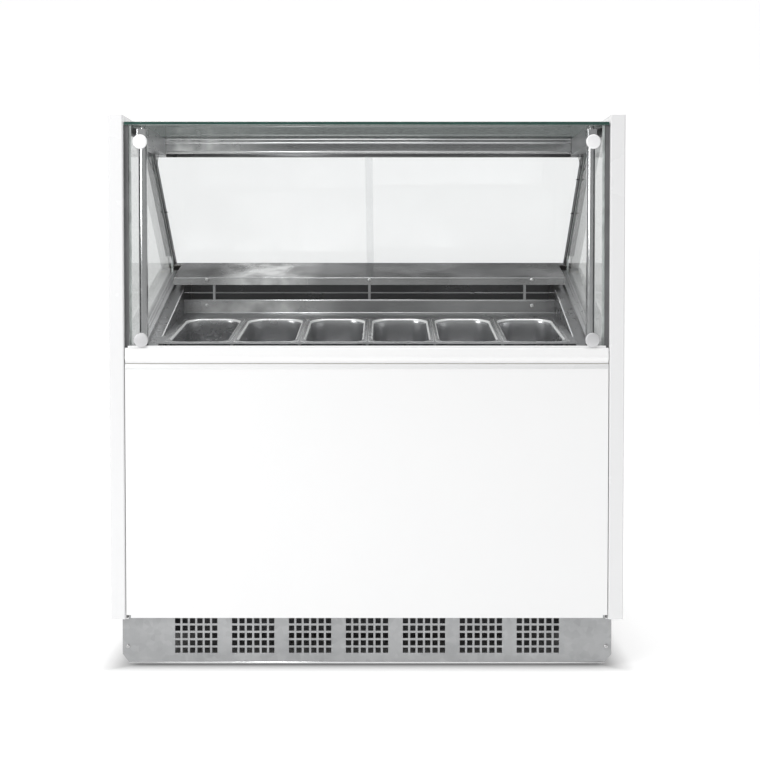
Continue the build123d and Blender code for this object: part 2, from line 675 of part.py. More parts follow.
save(door_pane(-DOOR_OUTER, DOOR_OVERLAP / 2, INNER_OUT), "door_left")
save(door_pane(-DOOR_OVERLAP / 2, DOOR_OUTER, OUTER_OUT), "door_right")
save(door_pull(-1, INNER_OUT), "door_pull_left")
save(door_pull(1, OUTER_OUT), "door_pull_right")

TRACK_BACK = OUTER_OUT + DOOR_T + 3

with BuildPart() as door_tracks:
    for start, slot_start, half in (
        (TRACK_TOP, TRACK_TOP + TRACK_WALL, POST_X),
        (track_front, track_front, DOOR_OUTER + 0.8),
    ):
        with BuildSketch(Plane(door_plane.origin, x_dir=door_plane.y_dir, z_dir=door_plane.x_dir)):
            with Locations((start, TRACK_FACE)):
                Rectangle(TRACK_DEEP, TRACK_BACK - TRACK_FACE, align=(Align.MIN, Align.MIN))
            with Locations((slot_start, INNER_OUT - DOOR_PLAY), (slot_start, OUTER_OUT - DOOR_PLAY)):
                Rectangle(TRACK_DEEP - TRACK_WALL, DOOR_T + 2 * DOOR_PLAY, align=(Align.MIN, Align.MIN),
                          mode=Mode.SUBTRACT)
        extrude(amount=half, both=True)
save(door_tracks, "door_tracks")

# ---- steel canopy ----
BEAM_FRONT_Y = FRONT + 55
CANOPY_X0 = 541
CANOPY_BOTTOM = 1284
LIP = 11

with BuildPart() as side_beams:
    for side in (-1, 1):
        with BuildSketch(Plane.XZ.offset(-BEAM_FRONT_Y)):
            with Locations((side * (CANOPY_X0 + SIDE_GLASS_X) / 2, (CANOPY_BOTTOM + GLASS_TOP) / 2)):
                Rectangle(SIDE_GLASS_X - CANOPY_X0, GLASS_TOP - CANOPY_BOTTOM)
            with Locations((side * (CANOPY_X0 + SHEET), (CANOPY_BOTTOM + GLASS_TOP) / 2)):
                Rectangle(SIDE_GLASS_X - CANOPY_X0, GLASS_TOP - CANOPY_BOTTOM - 2 * SHEET,
                          align=((Align.MIN if side > 0 else Align.MAX), Align.CENTER), mode=Mode.SUBTRACT)
        extrude(amount=-(DOOR_TOP_Y - BEAM_FRONT_Y))
save(side_beams, "side_beams")

with BuildPart() as rear_beam:
    with BuildSketch(Plane.YZ):
        with BuildLine():
            Polyline(
                (DOOR_TOP_Y, GLASS_TOP), (DOOR_TOP_Y, GLASS_TOP - LIP),
                (DOOR_TOP_Y + 5, GLASS_TOP - LIP - 2),
                (DOOR_TOP_Y + 5, CANOPY_BOTTOM + 9), (DOOR_TOP_Y + 1, CANOPY_BOTTOM + 2),
                (DOOR_TOP_Y + 1, DOOR_TOP_Z), (DOOR_TOP_Y + 4, DOOR_TOP_Z),
                (DOOR_TOP_Y + 7, CANOPY_BOTTOM + 9),
                (DOOR_TOP_Y + 7, GLASS_TOP - SHEET), (TOP_GLASS_BACK + 8, GLASS_TOP - SHEET),
                (TOP_GLASS_BACK + 8, GLASS_TOP), close=True,
            )
        make_face()
    extrude(amount=SIDE_GLASS_X, both=True)
save(rear_beam, "rear_beam")

BATTEN_HALF = 500

with BuildPart() as led_batten:
    with BuildSketch(Plane.YZ):
        with BuildLine():
            Polyline(
                (DOOR_TOP_Y + 7, GLASS_TOP - 8), (DOOR_TOP_Y + 7, GLASS_TOP - 26),
                (DOOR_TOP_Y + 12, GLASS_TOP - 26), (DOOR_TOP_Y + 20, GLASS_TOP - 18),
                (DOOR_TOP_Y + 20, GLASS_TOP - 8), close=True,
            )
        make_face()
    extrude(amount=BATTEN_HALF, both=True)
save(led_batten, "led_batten")

# ---- support tubes and stand-offs ----
TUBE_TOP = 1302
HEAD_W = 24

with BuildPart() as support_tubes:
    for side in (-1, 1):
        x = side * TUBE_X
        with BuildSketch(Plane.XY.offset(RAIL_TOP)):
            with Locations((x, TUBE_Y - 5)):
                RectangleRounded(34, 26, 4)
        extrude(amount=3)
        with BuildSketch(Plane.XY.offset(RAIL_TOP + 3)):
            with Locations((x, TUBE_Y)):
                Circle(TUBE_R)
        extrude(amount=TUBE_TOP - RAIL_TOP - 3)
        with BuildSketch(Plane.XY.offset(TUBE_TOP)):
            with Locations((x, TUBE_Y - 3.5)):
                RectangleRounded(HEAD_W, 35, 3)
        extrude(amount=16)
        with BuildSketch(Plane.XY.offset(TUBE_TOP + 16)):
            with Locations((x, TUBE_Y)):
                Circle(7)
        extrude(amount=GLASS_TOP - TUBE_TOP - 16)
save(support_tubes, "support_tubes")

CAP_R = 17.5
CAP_FACE_Y = FRONT + 1
CAP_BACK_Y = FRONT + 7.5
HUB_R = 10
BARREL_R = 9

with BuildPart() as glass_standoffs:
    for x in (-TUBE_X, TUBE_X):
        for z in (CAP_LOW_Z, CAP_HIGH_Z):
            tube_face_y = TUBE_Y - TUBE_R
            with BuildSketch(Plane.YZ.offset(x)):
                with BuildLine():
                    Polyline(
                        (CAP_FACE_Y, z), (CAP_FACE_Y, z + 13), (CAP_FACE_Y + 2.5, z + CAP_R),
                        (CAP_BACK_Y, z + CAP_R), (CAP_BACK_Y, z + HUB_R), (FRONT_GLASS_Y, z + HUB_R),
                        (FRONT_GLASS_Y, z + STUD_R), (FRONT_GLASS_Y + FRONT_GLASS_T, z + STUD_R),
                        (FRONT_GLASS_Y + FRONT_GLASS_T, z + BARREL_R), (tube_face_y, z + BARREL_R),
                        (tube_face_y, z), close=True,
                    )
                make_face()
            revolve(axis=Axis((x, 0, z), (0, 1, 0)))
save(glass_standoffs, "glass_standoffs")

# ---- lamp cables, clipped along the slanted glass edges ----
CABLE_OUT = -7                         # in front of the doors
CABLE_END = 445

with BuildPart() as lamp_cables:
    for side in (-1, 1):
        x = side * CABLE_X
        upper = door_point(60, CABLE_OUT)
        lower = door_point(CABLE_END - 70, CABLE_OUT)
        end = door_point(CABLE_END, CABLE_OUT)
        with BuildLine():
            route = FilletPolyline(
                (x, DOOR_TOP_Y - 12, CANOPY_BOTTOM), (x, DOOR_TOP_Y - 12, CANOPY_BOTTOM - 16),
                (x, upper[0], upper[1] - 2), (x, lower[0], lower[1] - 2), (x, end[0], end[1]),
                radius=[16, 40, 40],
            )
        with BuildSketch(Plane(origin=route @ 0, z_dir=route % 0)):
            Circle(CABLE_R)
        sweep(path=route)
save(lamp_cables, "lamp_cables")

# ---- rear: service shelf, louvred panel, control panel and its controls ----
SHELF_H = 15
SHELF_TOP = SHELF_Z + SHELF_H
SHELF_STEP_Y = 347
PANEL_SPLIT_Z = 880
REAR_T = 2
LOUVRE_COUNT = 9
LOUVRE_PITCH = 26
LOUVRE_X = 300                         # middle of each of the two louvre columns
LOUVRE_Z = 330

with BuildPart() as service_shelf:
    with BuildSketch(Plane.YZ):
        with BuildLine():
            Polyline(
                door_point(TRACK_BOTTOM, TRACK_FACE + 2), door_point(TRACK_BOTTOM, TRACK_BACK),
                (SHELF_FRONT, SHELF_TOP), (BACK, SHELF_TOP), (BACK, SHELF_Z - 10),
                (BACK - SHEET, SHELF_Z - 10), (BACK - SHEET, SHELF_TOP - SHEET),
                (SHELF_FRONT + SHEET, SHELF_TOP - SHEET), door_point(TRACK_BOTTOM + SHEET, TRACK_BACK),
                door_point(TRACK_BOTTOM + SHEET, TRACK_FACE + 2), close=True,
            )
        make_face()
    extrude(amount=SIDE_INNER, both=True)
    with BuildSketch(Plane.YZ):
        with Locations((SHELF_STEP_Y, SHELF_Z)):
            Rectangle(BACK - SHELF_STEP_Y, SHELF_H, align=(Align.MIN, Align.MIN))
        with Locations((SHELF_STEP_Y + SHEET, SHELF_Z)):
            Rectangle(BACK - SHELF_STEP_Y - 2 * SHEET, SHELF_H - SHEET, align=(Align.MIN, Align.MIN),
                      mode=Mode.SUBTRACT)
    extrude(amount=SIDE_OUTER, both=True)
save(service_shelf, "service_shelf")

with BuildPart() as rear_panel:
    with BuildSketch(Plane.XZ.offset(-REAR_Y)):
        with Locations((0, (DECK_Z + PANEL_SPLIT_Z) / 2)):
            Rectangle(2 * SIDE_INNER, PANEL_SPLIT_Z - DECK_Z - 1)
        for column in (-LOUVRE_X, LOUVRE_X):
            with Locations((column, LOUVRE_Z)):
                with GridLocations(0, LOUVRE_PITCH, 1, LOUVRE_COUNT):
                    Rectangle(360, 9, mode=Mode.SUBTRACT)
    extrude(amount=REAR_T)
    for column in (-LOUVRE_X, LOUVRE_X):
        for row in range(LOUVRE_COUNT):
            louvre_z = LOUVRE_Z + (row - (LOUVRE_COUNT - 1) / 2) * LOUVRE_PITCH
            with BuildSketch(Plane.YZ.offset(column)):
                with BuildLine():
                    Polyline(
                        (REAR_Y - 0.5, louvre_z + 8), (REAR_Y, louvre_z + 8), (REAR_Y + 7, louvre_z - 2),
                        (REAR_Y + 6, louvre_z - 3), (REAR_Y - 0.5, louvre_z + 5), close=True,
                    )
                make_face()
            extrude(amount=186, both=True)
save(rear_panel, "rear_panel")

KNOB_X = 120
SWITCH_X = 220
POWER_X = 300
CONTROL_Z = 930
GLAND_X = 420
GLAND_R = 10
BEZEL_W = 22
BEZEL_H = 30
SHAFT_R = 3

with BuildPart() as control_panel:
    with BuildSketch(Plane.XZ.offset(-REAR_Y)):
        with Locations((0, (PANEL_SPLIT_Z + SHELF_Z) / 2)):
            Rectangle(2 * SIDE_INNER, SHELF_Z - PANEL_SPLIT_Z - 1)
        with Locations((KNOB_X, CONTROL_Z)):
            Circle(SHAFT_R + 0.05, mode=Mode.SUBTRACT)
        with Locations((SWITCH_X, CONTROL_Z), (POWER_X, CONTROL_Z)):
            Rectangle(BEZEL_W - 4, BEZEL_H - 4, mode=Mode.SUBTRACT)
        with Locations((GLAND_X, CONTROL_Z)):
            Circle(GLAND_R, mode=Mode.SUBTRACT)
    extrude(amount=REAR_T)
    with Locations((0, REAR_Y - REAR_T, SHELF_Z - 0.5)):
        Box(2 * SIDE_INNER, 12, REAR_T, align=(Align.CENTER, Align.MAX, Align.MAX))
    for switch_x in (SWITCH_X, POWER_X):
        with BuildSketch(Plane.XZ.offset(-REAR_Y)):
            with Locations((switch_x, CONTROL_Z)):
                Rectangle(BEZEL_W, BEZEL_H)
                Rectangle(BEZEL_W - 5, BEZEL_H - 5, mode=Mode.SUBTRACT)
        extrude(amount=-2)
save(control_panel, "control_panel")

with BuildPart() as thermostat_knob:
    with BuildSketch(Plane.YZ.offset(KNOB_X)):
        with BuildLine():
            Polyline(
                (REAR_Y - 8, CONTROL_Z), (REAR_Y - 8, CONTROL_Z + SHAFT_R),
                (REAR_Y + 0.5, CONTROL_Z + SHAFT_R), (REAR_Y + 0.5, CONTROL_Z + 19),
                (REAR_Y + 3, CONTROL_Z + 19), (REAR_Y + 4, CONTROL_Z + 16),
                (REAR_Y + 11.5, CONTROL_Z + 14.5), (REAR_Y + 11.5, CONTROL_Z), close=True,
            )
        make_face()
    revolve(axis=Axis((KNOB_X, 0, CONTROL_Z), (0, 1, 0)))
    with Locations((KNOB_X, REAR_Y + 11.5, CONTROL_Z + 9)):
        Box(1.6, 2, 8, mode=Mode.SUBTRACT)
save(thermostat_knob, "thermostat_knob")


def rocker(x):
    """Rocker with two shallow facets; it rocks about its own X axis."""
    half_w = BEZEL_W / 2 - 3
    half_h = BEZEL_H / 2 - 3.6
    with BuildPart() as key:
        with BuildSketch(Plane.YZ.offset(x)):
            with BuildLine():
                Polyline(
                    (REAR_Y - 5, CONTROL_Z - 4), (REAR_Y - 5, CONTROL_Z + 4), (REAR_Y, CONTROL_Z + half_h),
                    (REAR_Y + 4.5, CONTROL_Z + half_h), (REAR_Y + 3, CONTROL_Z),
                    (REAR_Y + 4.5, CONTROL_Z - half_h), (REAR_Y, CONTROL_Z - half_h), close=True,
                )
            make_face()
        extrude(amount=half_w, both=True)
    return key


save(rocker(SWITCH_X), "lamp_switch")
save(rocker(POWER_X), "power_switch")

with BuildPart() as mains_gland:
    with BuildSketch(Plane.YZ.offset(GLAND_X)):
        with BuildLine():
            Polyline(
                (REAR_Y - 10, CONTROL_Z + 5), (REAR_Y - 10, CONTROL_Z + GLAND_R - 0.1),
                (REAR_Y, CONTROL_Z + GLAND_R - 0.1), (REAR_Y, CONTROL_Z + 13), (REAR_Y + 6, CONTROL_Z + 13),
                (REAR_Y + 11, CONTROL_Z + 8), (REAR_Y + 11, CONTROL_Z + 5), close=True,
            )
        make_face()
    revolve(axis=Axis((GLAND_X, 0, CONTROL_Z), (0, 1, 0)))
save(mains_gland, "mains_gland")

# ---- cold side: evaporator coil, fans and motors ----
COIL_HALF = 470
COIL_Y = 160
COIL_DEEP = 70
COIL_Z = 680
COIL_H = 190
FIN_COUNT = 47
BLADE_T = 2
BLADE_COUNT = 5
BLADE_PITCH = 30


def finned_coil(x0, x1, y, deep, z, height, fins, foot_z):
    """Finned block: a thin-plate stack between two end plates, on two feet."""
    with BuildPart() as coil:
        length = x1 - x0
        with Locations(((x0 + x1) / 2, y, z)):
            Box(length, deep, height, align=(Align.CENTER, Align.MIN, Align.MIN))
        pitch = (length - 8) / fins
        for face_y in (y, y + deep):
            with Locations(((x0 + x1) / 2, face_y, z + height / 2)):
                with GridLocations(pitch, 0, fins, 1):
                    Box(pitch * 0.55, deep * 0.3, height - 12, mode=Mode.SUBTRACT)
        for end_x in (x0 + 1, x1 - 1):
            with Locations((end_x, y, foot_z)):
                Box(2, deep, z + height - foot_z, align=(Align.CENTER, Align.MIN, Align.MIN))
    return coil


save(finned_coil(-COIL_HALF, COIL_HALF, COIL_Y, COIL_DEEP, COIL_Z, COIL_H, FIN_COUNT,
                 WELL_FLOOR + LINER_T), "evaporator_coil")


def axial_fan(x, y, z, radius, hub_r, depth, bore_r):
    """Fan wheel on a hub with twisted flat blades; its axis runs along Y."""
    with BuildPart() as wheel:
        with BuildSketch(Plane.XZ.offset(-y)):
            with Locations((x, z)):
                Circle(hub_r)
        extrude(amount=-depth)
        for blade in range(BLADE_COUNT):
            angle = math.radians(blade * 360 / BLADE_COUNT)
            pitch = math.radians(BLADE_PITCH)
            blade_plane = Plane(
                origin=(x, y + depth / 2, z),
                x_dir=(math.cos(angle), 0, math.sin(angle)),
                z_dir=(
                    math.sin(pitch) * math.sin(angle), math.cos(pitch), -math.sin(pitch) * math.cos(angle),
                ),
            )
            with BuildSketch(blade_plane):
                with BuildLine():
                    Polyline(
                        (hub_r - 3, -7), (0.97 * radius, -12), (0.97 * radius, 12), (hub_r - 3, 7), close=True
                    )
                make_face()
            extrude(amount=BLADE_T / 2, both=True)
        with Locations((x, y, z)):
            Cylinder(bore_r, 4 * depth, rotation=(90, 0, 0), mode=Mode.SUBTRACT)
    return wheel


def fan_motor(x, shaft_y, body_y, body_deep, z, body_r, shaft_r, ring_y, ring_r):
    """Motor can with a shaft forward and a four-arm bracket reaching a mounting ring."""
    with BuildPart() as motor:
        with BuildSketch(Plane.XZ.offset(-body_y)):
            with Locations((x, z)):
                Circle(body_r)
        extrude(amount=-body_deep)
        fillet(motor.edges().filter_by(GeomType.CIRCLE), radius=3)
        with BuildSketch(Plane.XZ.offset(-shaft_y)):
            with Locations((x, z)):
                Circle(shaft_r)
        extrude(amount=-(body_y + 2 - shaft_y))
        arm_y = body_y + body_deep / 2
        with BuildSketch(Plane.XZ.offset(-arm_y)):
            with Locations((x, z)):
                Rectangle(2 * ring_r, 8)
                Rectangle(8, 2 * ring_r)
        extrude(amount=-2)
        with BuildSketch(Plane.XZ.offset(-ring_y)):
            with Locations((x, z)):
                with PolarLocations(ring_r - 4, 4):
                    Rectangle(8, 8)
        extrude(amount=-(arm_y + 2 - ring_y))
    return motor


FAN_R = 72
FAN_HUB_R = 20
FAN_Y = WALL_Y + 6
FAN_DEEP = 16
SHAFT_FIT = 0.05
EVAP_SHAFT_R = 3
EVAP_MOTOR_Y = FAN_Y + FAN_DEEP + 3

COND_X = -290
COND_Z = 275
COND_FAN_R = 112
COND_FAN_Y = -228
COND_HUB_R = 28
COND_SHAFT_R = 4
COND_MOTOR_Y = COND_FAN_Y + 22
SHROUD_Y = -240

for side_name, side in SIDES:
    save(axial_fan(side * FAN_X, FAN_Y, FAN_Z, FAN_R, FAN_HUB_R, FAN_DEEP, EVAP_SHAFT_R + SHAFT_FIT),
         f"evaporator_fan_{side_name}")
save(axial_fan(COND_X, COND_FAN_Y, COND_Z, COND_FAN_R, COND_HUB_R, 18, COND_SHAFT_R + SHAFT_FIT),
     "condenser_fan")

with BuildPart() as fan_motors:
    for motor_x in (-FAN_X, FAN_X):
        add(fan_motor(motor_x, FAN_Y - 1, EVAP_MOTOR_Y, 24, FAN_Z, 26, EVAP_SHAFT_R, WALL_Y + SHEET, 92).part)
    add(fan_motor(COND_X, COND_FAN_Y - 2, COND_MOTOR_Y, 60, COND_Z, 42, COND_SHAFT_R, SHROUD_Y + 3, 134).part)
save(fan_motors, "fan_motors")

# ---- warm side, on the base deck ----
COND_HALF = 170
COND_COIL_Y = -330
COND_COIL_DEEP = 88
COND_COIL_Z = 135
COND_COIL_H = 280

save(finned_coil(COND_X - COND_HALF, COND_X + COND_HALF, COND_COIL_Y, COND_COIL_DEEP, COND_COIL_Z,
                 COND_COIL_H, 26, DECK_Z), "condenser_coil")

with BuildPart() as fan_shroud:
    with BuildSketch(Plane.XZ.offset(-(SHROUD_Y - 2))):
        with Locations((COND_X, DECK_Z)):
            Rectangle(2 * COND_HALF, COND_COIL_Z + COND_COIL_H - DECK_Z, align=(Align.CENTER, Align.MIN))
        with Locations((COND_X, COND_Z)):
            Circle(COND_FAN_R + 8, mode=Mode.SUBTRACT)
    extrude(amount=-5)
    with BuildSketch(Plane.XZ.offset(-(SHROUD_Y + 3))):
        with Locations((COND_X, COND_Z)):
            Circle(COND_FAN_R + 11)
            Circle(COND_FAN_R + 8, mode=Mode.SUBTRACT)
    extrude(amount=-22)
save(fan_shroud, "fan_shroud")

COMP_X = 290
COMP_Y = 60
COMP_R = 82
COMP_H = 190

with BuildPart() as compressor:
    with BuildSketch(Plane.XY.offset(DECK_Z + 14)):
        with Locations((COMP_X, COMP_Y)):
            Circle(COMP_R)
    extrude(amount=COMP_H - 14)
    fillet(compressor.edges().group_by(Axis.Z)[-1], radius=36)
    fillet(compressor.edges().group_by(Axis.Z)[0], radius=18)
    with Locations((COMP_X, COMP_Y, DECK_Z + 14)):
        Box(200, 150, 4)
    with Locations((COMP_X, COMP_Y, DECK_Z)):
        with GridLocations(170, 120, 2, 2):
            Cylinder(12, 13, align=(Align.CENTER, Align.CENTER, Align.MIN))
    with Locations((COMP_X - COMP_R, COMP_Y, DECK_Z + 100)):
        Box(40, 60, 60)
save(compressor, "compressor")

TRAY_X = 0
TRAY_W = 240
TRAY_L = 180
TRAY_H = 40

with BuildPart() as evaporation_tray:
    with Locations((TRAY_X, DRAIN_Y, DECK_Z)):
        Box(TRAY_W, TRAY_L, TRAY_H, align=(Align.CENTER, Align.CENTER, Align.MIN))
    with Locations((TRAY_X, DRAIN_Y, DECK_Z + 1.5)):
        Box(TRAY_W - 3, TRAY_L - 3, TRAY_H, align=(Align.CENTER, Align.CENTER, Align.MIN), mode=Mode.SUBTRACT)
save(evaporation_tray, "evaporation_tray")

with BuildPart() as drain_pipe:
    with BuildSketch(Plane.XY.offset(DECK_Z + 22)):
        with Locations((0, DRAIN_Y)):
            Circle(DRAIN_R)
            Circle(DRAIN_R - 2, mode=Mode.SUBTRACT)
    extrude(amount=WELL_FLOOR - DECK_Z - 22)
    with BuildSketch(Plane.XY.offset(BODY_BOTTOM - 3)):
        with Locations((0, DRAIN_Y)):
            Circle(DRAIN_R + 12)
            Circle(DRAIN_R - 2, mode=Mode.SUBTRACT)
    extrude(amount=3)
save(drain_pipe, "drain_pipe")

PIPE_R = 5
PIPE_REAR_Y = 340

with BuildPart() as refrigerant_pipes:
    with BuildLine():
        discharge = FilletPolyline(
            (COMP_X - 30, COMP_Y - COMP_R + 1, DECK_Z + 120),
            (COMP_X - 30, COMP_Y - COMP_R - 60, DECK_Z + 120),
            (COMP_X - 30, -280, DECK_Z + 180), (COND_X + COND_HALF, -280, DECK_Z + 180), radius=24,
        )
    with BuildSketch(Plane(origin=discharge @ 0, z_dir=discharge % 0)):
        Circle(PIPE_R)
    sweep(path=discharge)
    with BuildLine():
        suction = FilletPolyline(
            (COMP_X + 20, COMP_Y + COMP_R - 1, DECK_Z + 110), (COMP_X + 20, PIPE_REAR_Y, DECK_Z + 110),
            (PIPE_HOLE_X, PIPE_REAR_Y, PIPE_HOLE_Z), (PIPE_HOLE_X, COIL_Y + COIL_DEEP, PIPE_HOLE_Z),
            radius=24,
        )
    with BuildSketch(Plane(origin=suction @ 0, z_dir=suction % 0)):
        Circle(PIPE_R)
    sweep(path=suction)
save(refrigerant_pipes, "refrigerant_pipes")

# ---- visible screws ----
SCREW_HEAD_R = 5
SCREW_HEAD_H = 2.2


def screw(spot, direction):
    """Pan-head screw: a short shank with a domed head in front of the surface."""
    with BuildPart() as fastener:
        with BuildSketch(Plane(origin=spot, z_dir=direction)):
            Circle(SCREW_HEAD_R)
        extrude(amount=SCREW_HEAD_H, taper=25)
    return fastener


KICK_FACE_Y = DECK_FRONT - SHEET
WALL_SCREW_X = 455

with BuildPart() as panel_screws:
    for side in (-1, 1):
        add(screw((side * KICK_SCREW_X, KICK_FACE_Y, KICK_SCREW_Z), (0, -1, 0)).part)
        add(screw((side * WALL_SCREW_X, WALL_Y, 878), (0, -1, 0)).part)
        add(screw((side * WALL_SCREW_X, WALL_Y, LEDGE_Z - 7), (0, -1, 0)).part)
        for row_z in (160, 520, 850, 960):
            add(screw((side * (SIDE_INNER - 12), REAR_Y, row_z), (0, 1, 0)).part)
    add(screw((0, WALL_Y, LEDGE_Z - 7), (0, -1, 0)).part)
save(panel_screws, "panel_screws")
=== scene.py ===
import bmesh
import bpy
import math
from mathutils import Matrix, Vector


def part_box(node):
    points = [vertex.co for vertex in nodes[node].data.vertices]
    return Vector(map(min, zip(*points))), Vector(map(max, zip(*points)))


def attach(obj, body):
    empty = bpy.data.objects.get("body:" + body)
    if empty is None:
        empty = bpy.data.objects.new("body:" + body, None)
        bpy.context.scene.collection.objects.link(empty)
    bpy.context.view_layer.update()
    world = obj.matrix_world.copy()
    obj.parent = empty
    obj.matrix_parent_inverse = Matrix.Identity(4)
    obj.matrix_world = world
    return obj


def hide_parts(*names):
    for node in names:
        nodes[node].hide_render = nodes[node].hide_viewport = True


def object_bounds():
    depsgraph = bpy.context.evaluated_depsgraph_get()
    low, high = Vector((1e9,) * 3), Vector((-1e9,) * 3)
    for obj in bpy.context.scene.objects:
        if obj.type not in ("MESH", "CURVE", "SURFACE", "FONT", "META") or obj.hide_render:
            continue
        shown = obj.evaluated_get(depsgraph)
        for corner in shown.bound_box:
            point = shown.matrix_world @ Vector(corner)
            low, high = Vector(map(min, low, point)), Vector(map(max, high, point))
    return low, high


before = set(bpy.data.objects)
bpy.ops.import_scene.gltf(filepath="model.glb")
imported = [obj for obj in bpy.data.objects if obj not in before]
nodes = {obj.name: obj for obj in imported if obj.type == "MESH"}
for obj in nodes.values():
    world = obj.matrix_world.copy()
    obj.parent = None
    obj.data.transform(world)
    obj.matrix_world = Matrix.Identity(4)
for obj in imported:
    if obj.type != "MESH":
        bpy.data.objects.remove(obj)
cad_low, cad_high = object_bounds()

# Ice cream dipping cabinet. Metres, X across the front, -Y towards the customer, Z up.

FRONT = cad_low.y
SIDES = (("left", -1), ("right", 1))
PAN_COUNT = 6
PAN_LENGTH = 0.360
PAN_TILT = math.radians(7.5)
DOOR_RUN = 0.336                       # depth and drop of the slanted door plane
DOOR_DROP = 0.279
DOOR_LENGTH = math.hypot(DOOR_RUN, DOOR_DROP)

NOISE_LOW = 0.3                        # usual range of a noise texture's value
NOISE_HIGH = 0.7
FINE_RELIEF = 0.0003                   # height of a paint's or a sheet's relief


# ---- node helpers ----
class Tree:
    """A material's node tree with short calls for adding and joining nodes."""

    def __init__(self, name):
        self.material = bpy.data.materials.new(name)
        self.material.use_nodes = True
        self.nodes = self.material.node_tree.nodes
        self.links = self.material.node_tree.links
        self.nodes.clear()
        self.output = self.nodes.new("ShaderNodeOutputMaterial")

    def add(self, kind, **settings):
        node = self.nodes.new(kind)
        for key, value in settings.items():
            setattr(node, key, value)
        return node

    def join(self, source, target):
        self.links.new(source, target)

    def shader(self, color, rough, metal=0.0, **sockets):
        """Principled shader on the output; a keyword names a socket, with _ for a space."""
        node = self.add("ShaderNodeBsdfPrincipled")
        node.inputs["Base Color"].default_value = (*color, 1)
        node.inputs["Roughness"].default_value = rough
        node.inputs["Metallic"].default_value = metal
        for key, value in sockets.items():
            node.inputs[key.replace("_", " ")].default_value = value
        self.join(node.outputs[0], self.output.inputs["Surface"])
        return node

    def axes(self, kind):
        """X, Y and Z outputs of the Object place or the Normal."""
        place = self.add("ShaderNodeTexCoord")
        split = self.add("ShaderNodeSeparateXYZ")
        self.join(place.outputs[kind], split.inputs[0])
        return split.outputs

    def noise(self, scale, detail=4.0, rough=0.5, stretch=(1, 1, 1)):
        place = self.add("ShaderNodeTexCoord")
        mapping = self.add("ShaderNodeMapping")
        mapping.inputs["Scale"].default_value = stretch
        texture = self.add("ShaderNodeTexNoise")
        texture.inputs["Scale"].default_value = scale
        texture.inputs["Detail"].default_value = detail
        texture.inputs["Roughness"].default_value = rough
        self.join(place.outputs["Object"], mapping.inputs["Vector"])
        self.join(mapping.outputs[0], texture.inputs["Vector"])
        return texture.outputs["Fac"]

    def span(self, value, low, high, source_low=NOISE_LOW, source_high=NOISE_HIGH):
        """A value's source range taken to low and high, and held at both ends."""
        node = self.add("ShaderNodeMapRange")
        node.inputs["From Min"].default_value = source_low
        node.inputs["From Max"].default_value = source_high
        node.inputs["To Min"].default_value = low
        node.inputs["To Max"].default_value = high
        self.join(value, node.inputs["Value"])
        return node.outputs[0]

    def blend(self, factor, first, second):
        """Mix of two fixed colours."""
        node = self.add("ShaderNodeMix", data_type="RGBA")
        node.inputs["A"].default_value = (*first, 1)
        node.inputs["B"].default_value = (*second, 1)
        self.join(factor, node.inputs["Factor"])
        return node.outputs["Result"]

    def cross(self, factor, first, second):
        """Mix of two colour outputs."""
        node = self.add("ShaderNodeMix", data_type="RGBA")
        self.join(factor, node.inputs["Factor"])
        self.join(first, node.inputs["A"])
        self.join(second, node.inputs["B"])
        return node.outputs["Result"]

    def mix_shaders(self, factor, first, second):
        """Mix of two shader outputs."""
        node = self.add("ShaderNodeMixShader")
        self.join(factor, node.inputs[0])
        self.join(first, node.inputs[1])
        self.join(second, node.inputs[2])
        return node.outputs[0]

    def drift(self, shader, first, second, scale, detail=4):
        """Base colour that wanders slowly between two tones."""
        factor = self.span(self.noise(scale, detail), 0, 1)
        self.join(self.blend(factor, first, second), shader.inputs["Base Color"])

    def total(self, first, second, operation="ADD"):
        node = self.add("ShaderNodeMath", operation=operation)
        self.join(first, node.inputs[0])
        if isinstance(second, (int, float)):
            node.inputs[1].default_value = second
        else:
            self.join(second, node.inputs[1])
        return node.outputs[0]

    def size_of(self, value):
        return self.total(value, 0, "ABSOLUTE")

    def bump(self, height, strength, distance, shader):
        node = self.add("ShaderNodeBump")
        node.inputs["Strength"].default_value = strength
        node.inputs["Distance"].default_value = distance
        self.join(height, node.inputs["Height"])
        self.join(node.outputs[0], shader.inputs["Normal"])


def toned(color, factor):
    """A colour made darker or lighter."""
    return tuple(part * factor for part in color)


# ---- materials ----
ORANGE_PEEL = 900                      # cells per metre of the paint's relief
GLOSS_DRIFT = 0.02
GRAIN = {"X": (6, 420, 420), "Y": (420, 6, 420), "Z": (420, 420, 6)}
SCUFF_STRETCH = (1, 1, 2.4)
SPANGLE = 70                           # zinc crystals per metre
ROLLED_GRAIN = (4, 320, 320)
MOULDED_GRAIN = 500
GLASS_IOR = 1.45


def powder_coat(name, color, shade, rough):
    """White powder coat: faint orange peel, slow colour drift and slightly uneven gloss."""
    tree = Tree(name)
    shader = tree.shader(color, rough, Coat_Weight=0.35, Coat_Roughness=0.12)
    tree.drift(shader, color, shade, scale=1.6, detail=3)
    gloss = tree.span(tree.noise(9, 5), rough - GLOSS_DRIFT, rough + GLOSS_DRIFT)
    tree.join(gloss, shader.inputs["Roughness"])
    tree.bump(tree.noise(ORANGE_PEEL, 2), 0.04, FINE_RELIEF, shader)
    return tree.material


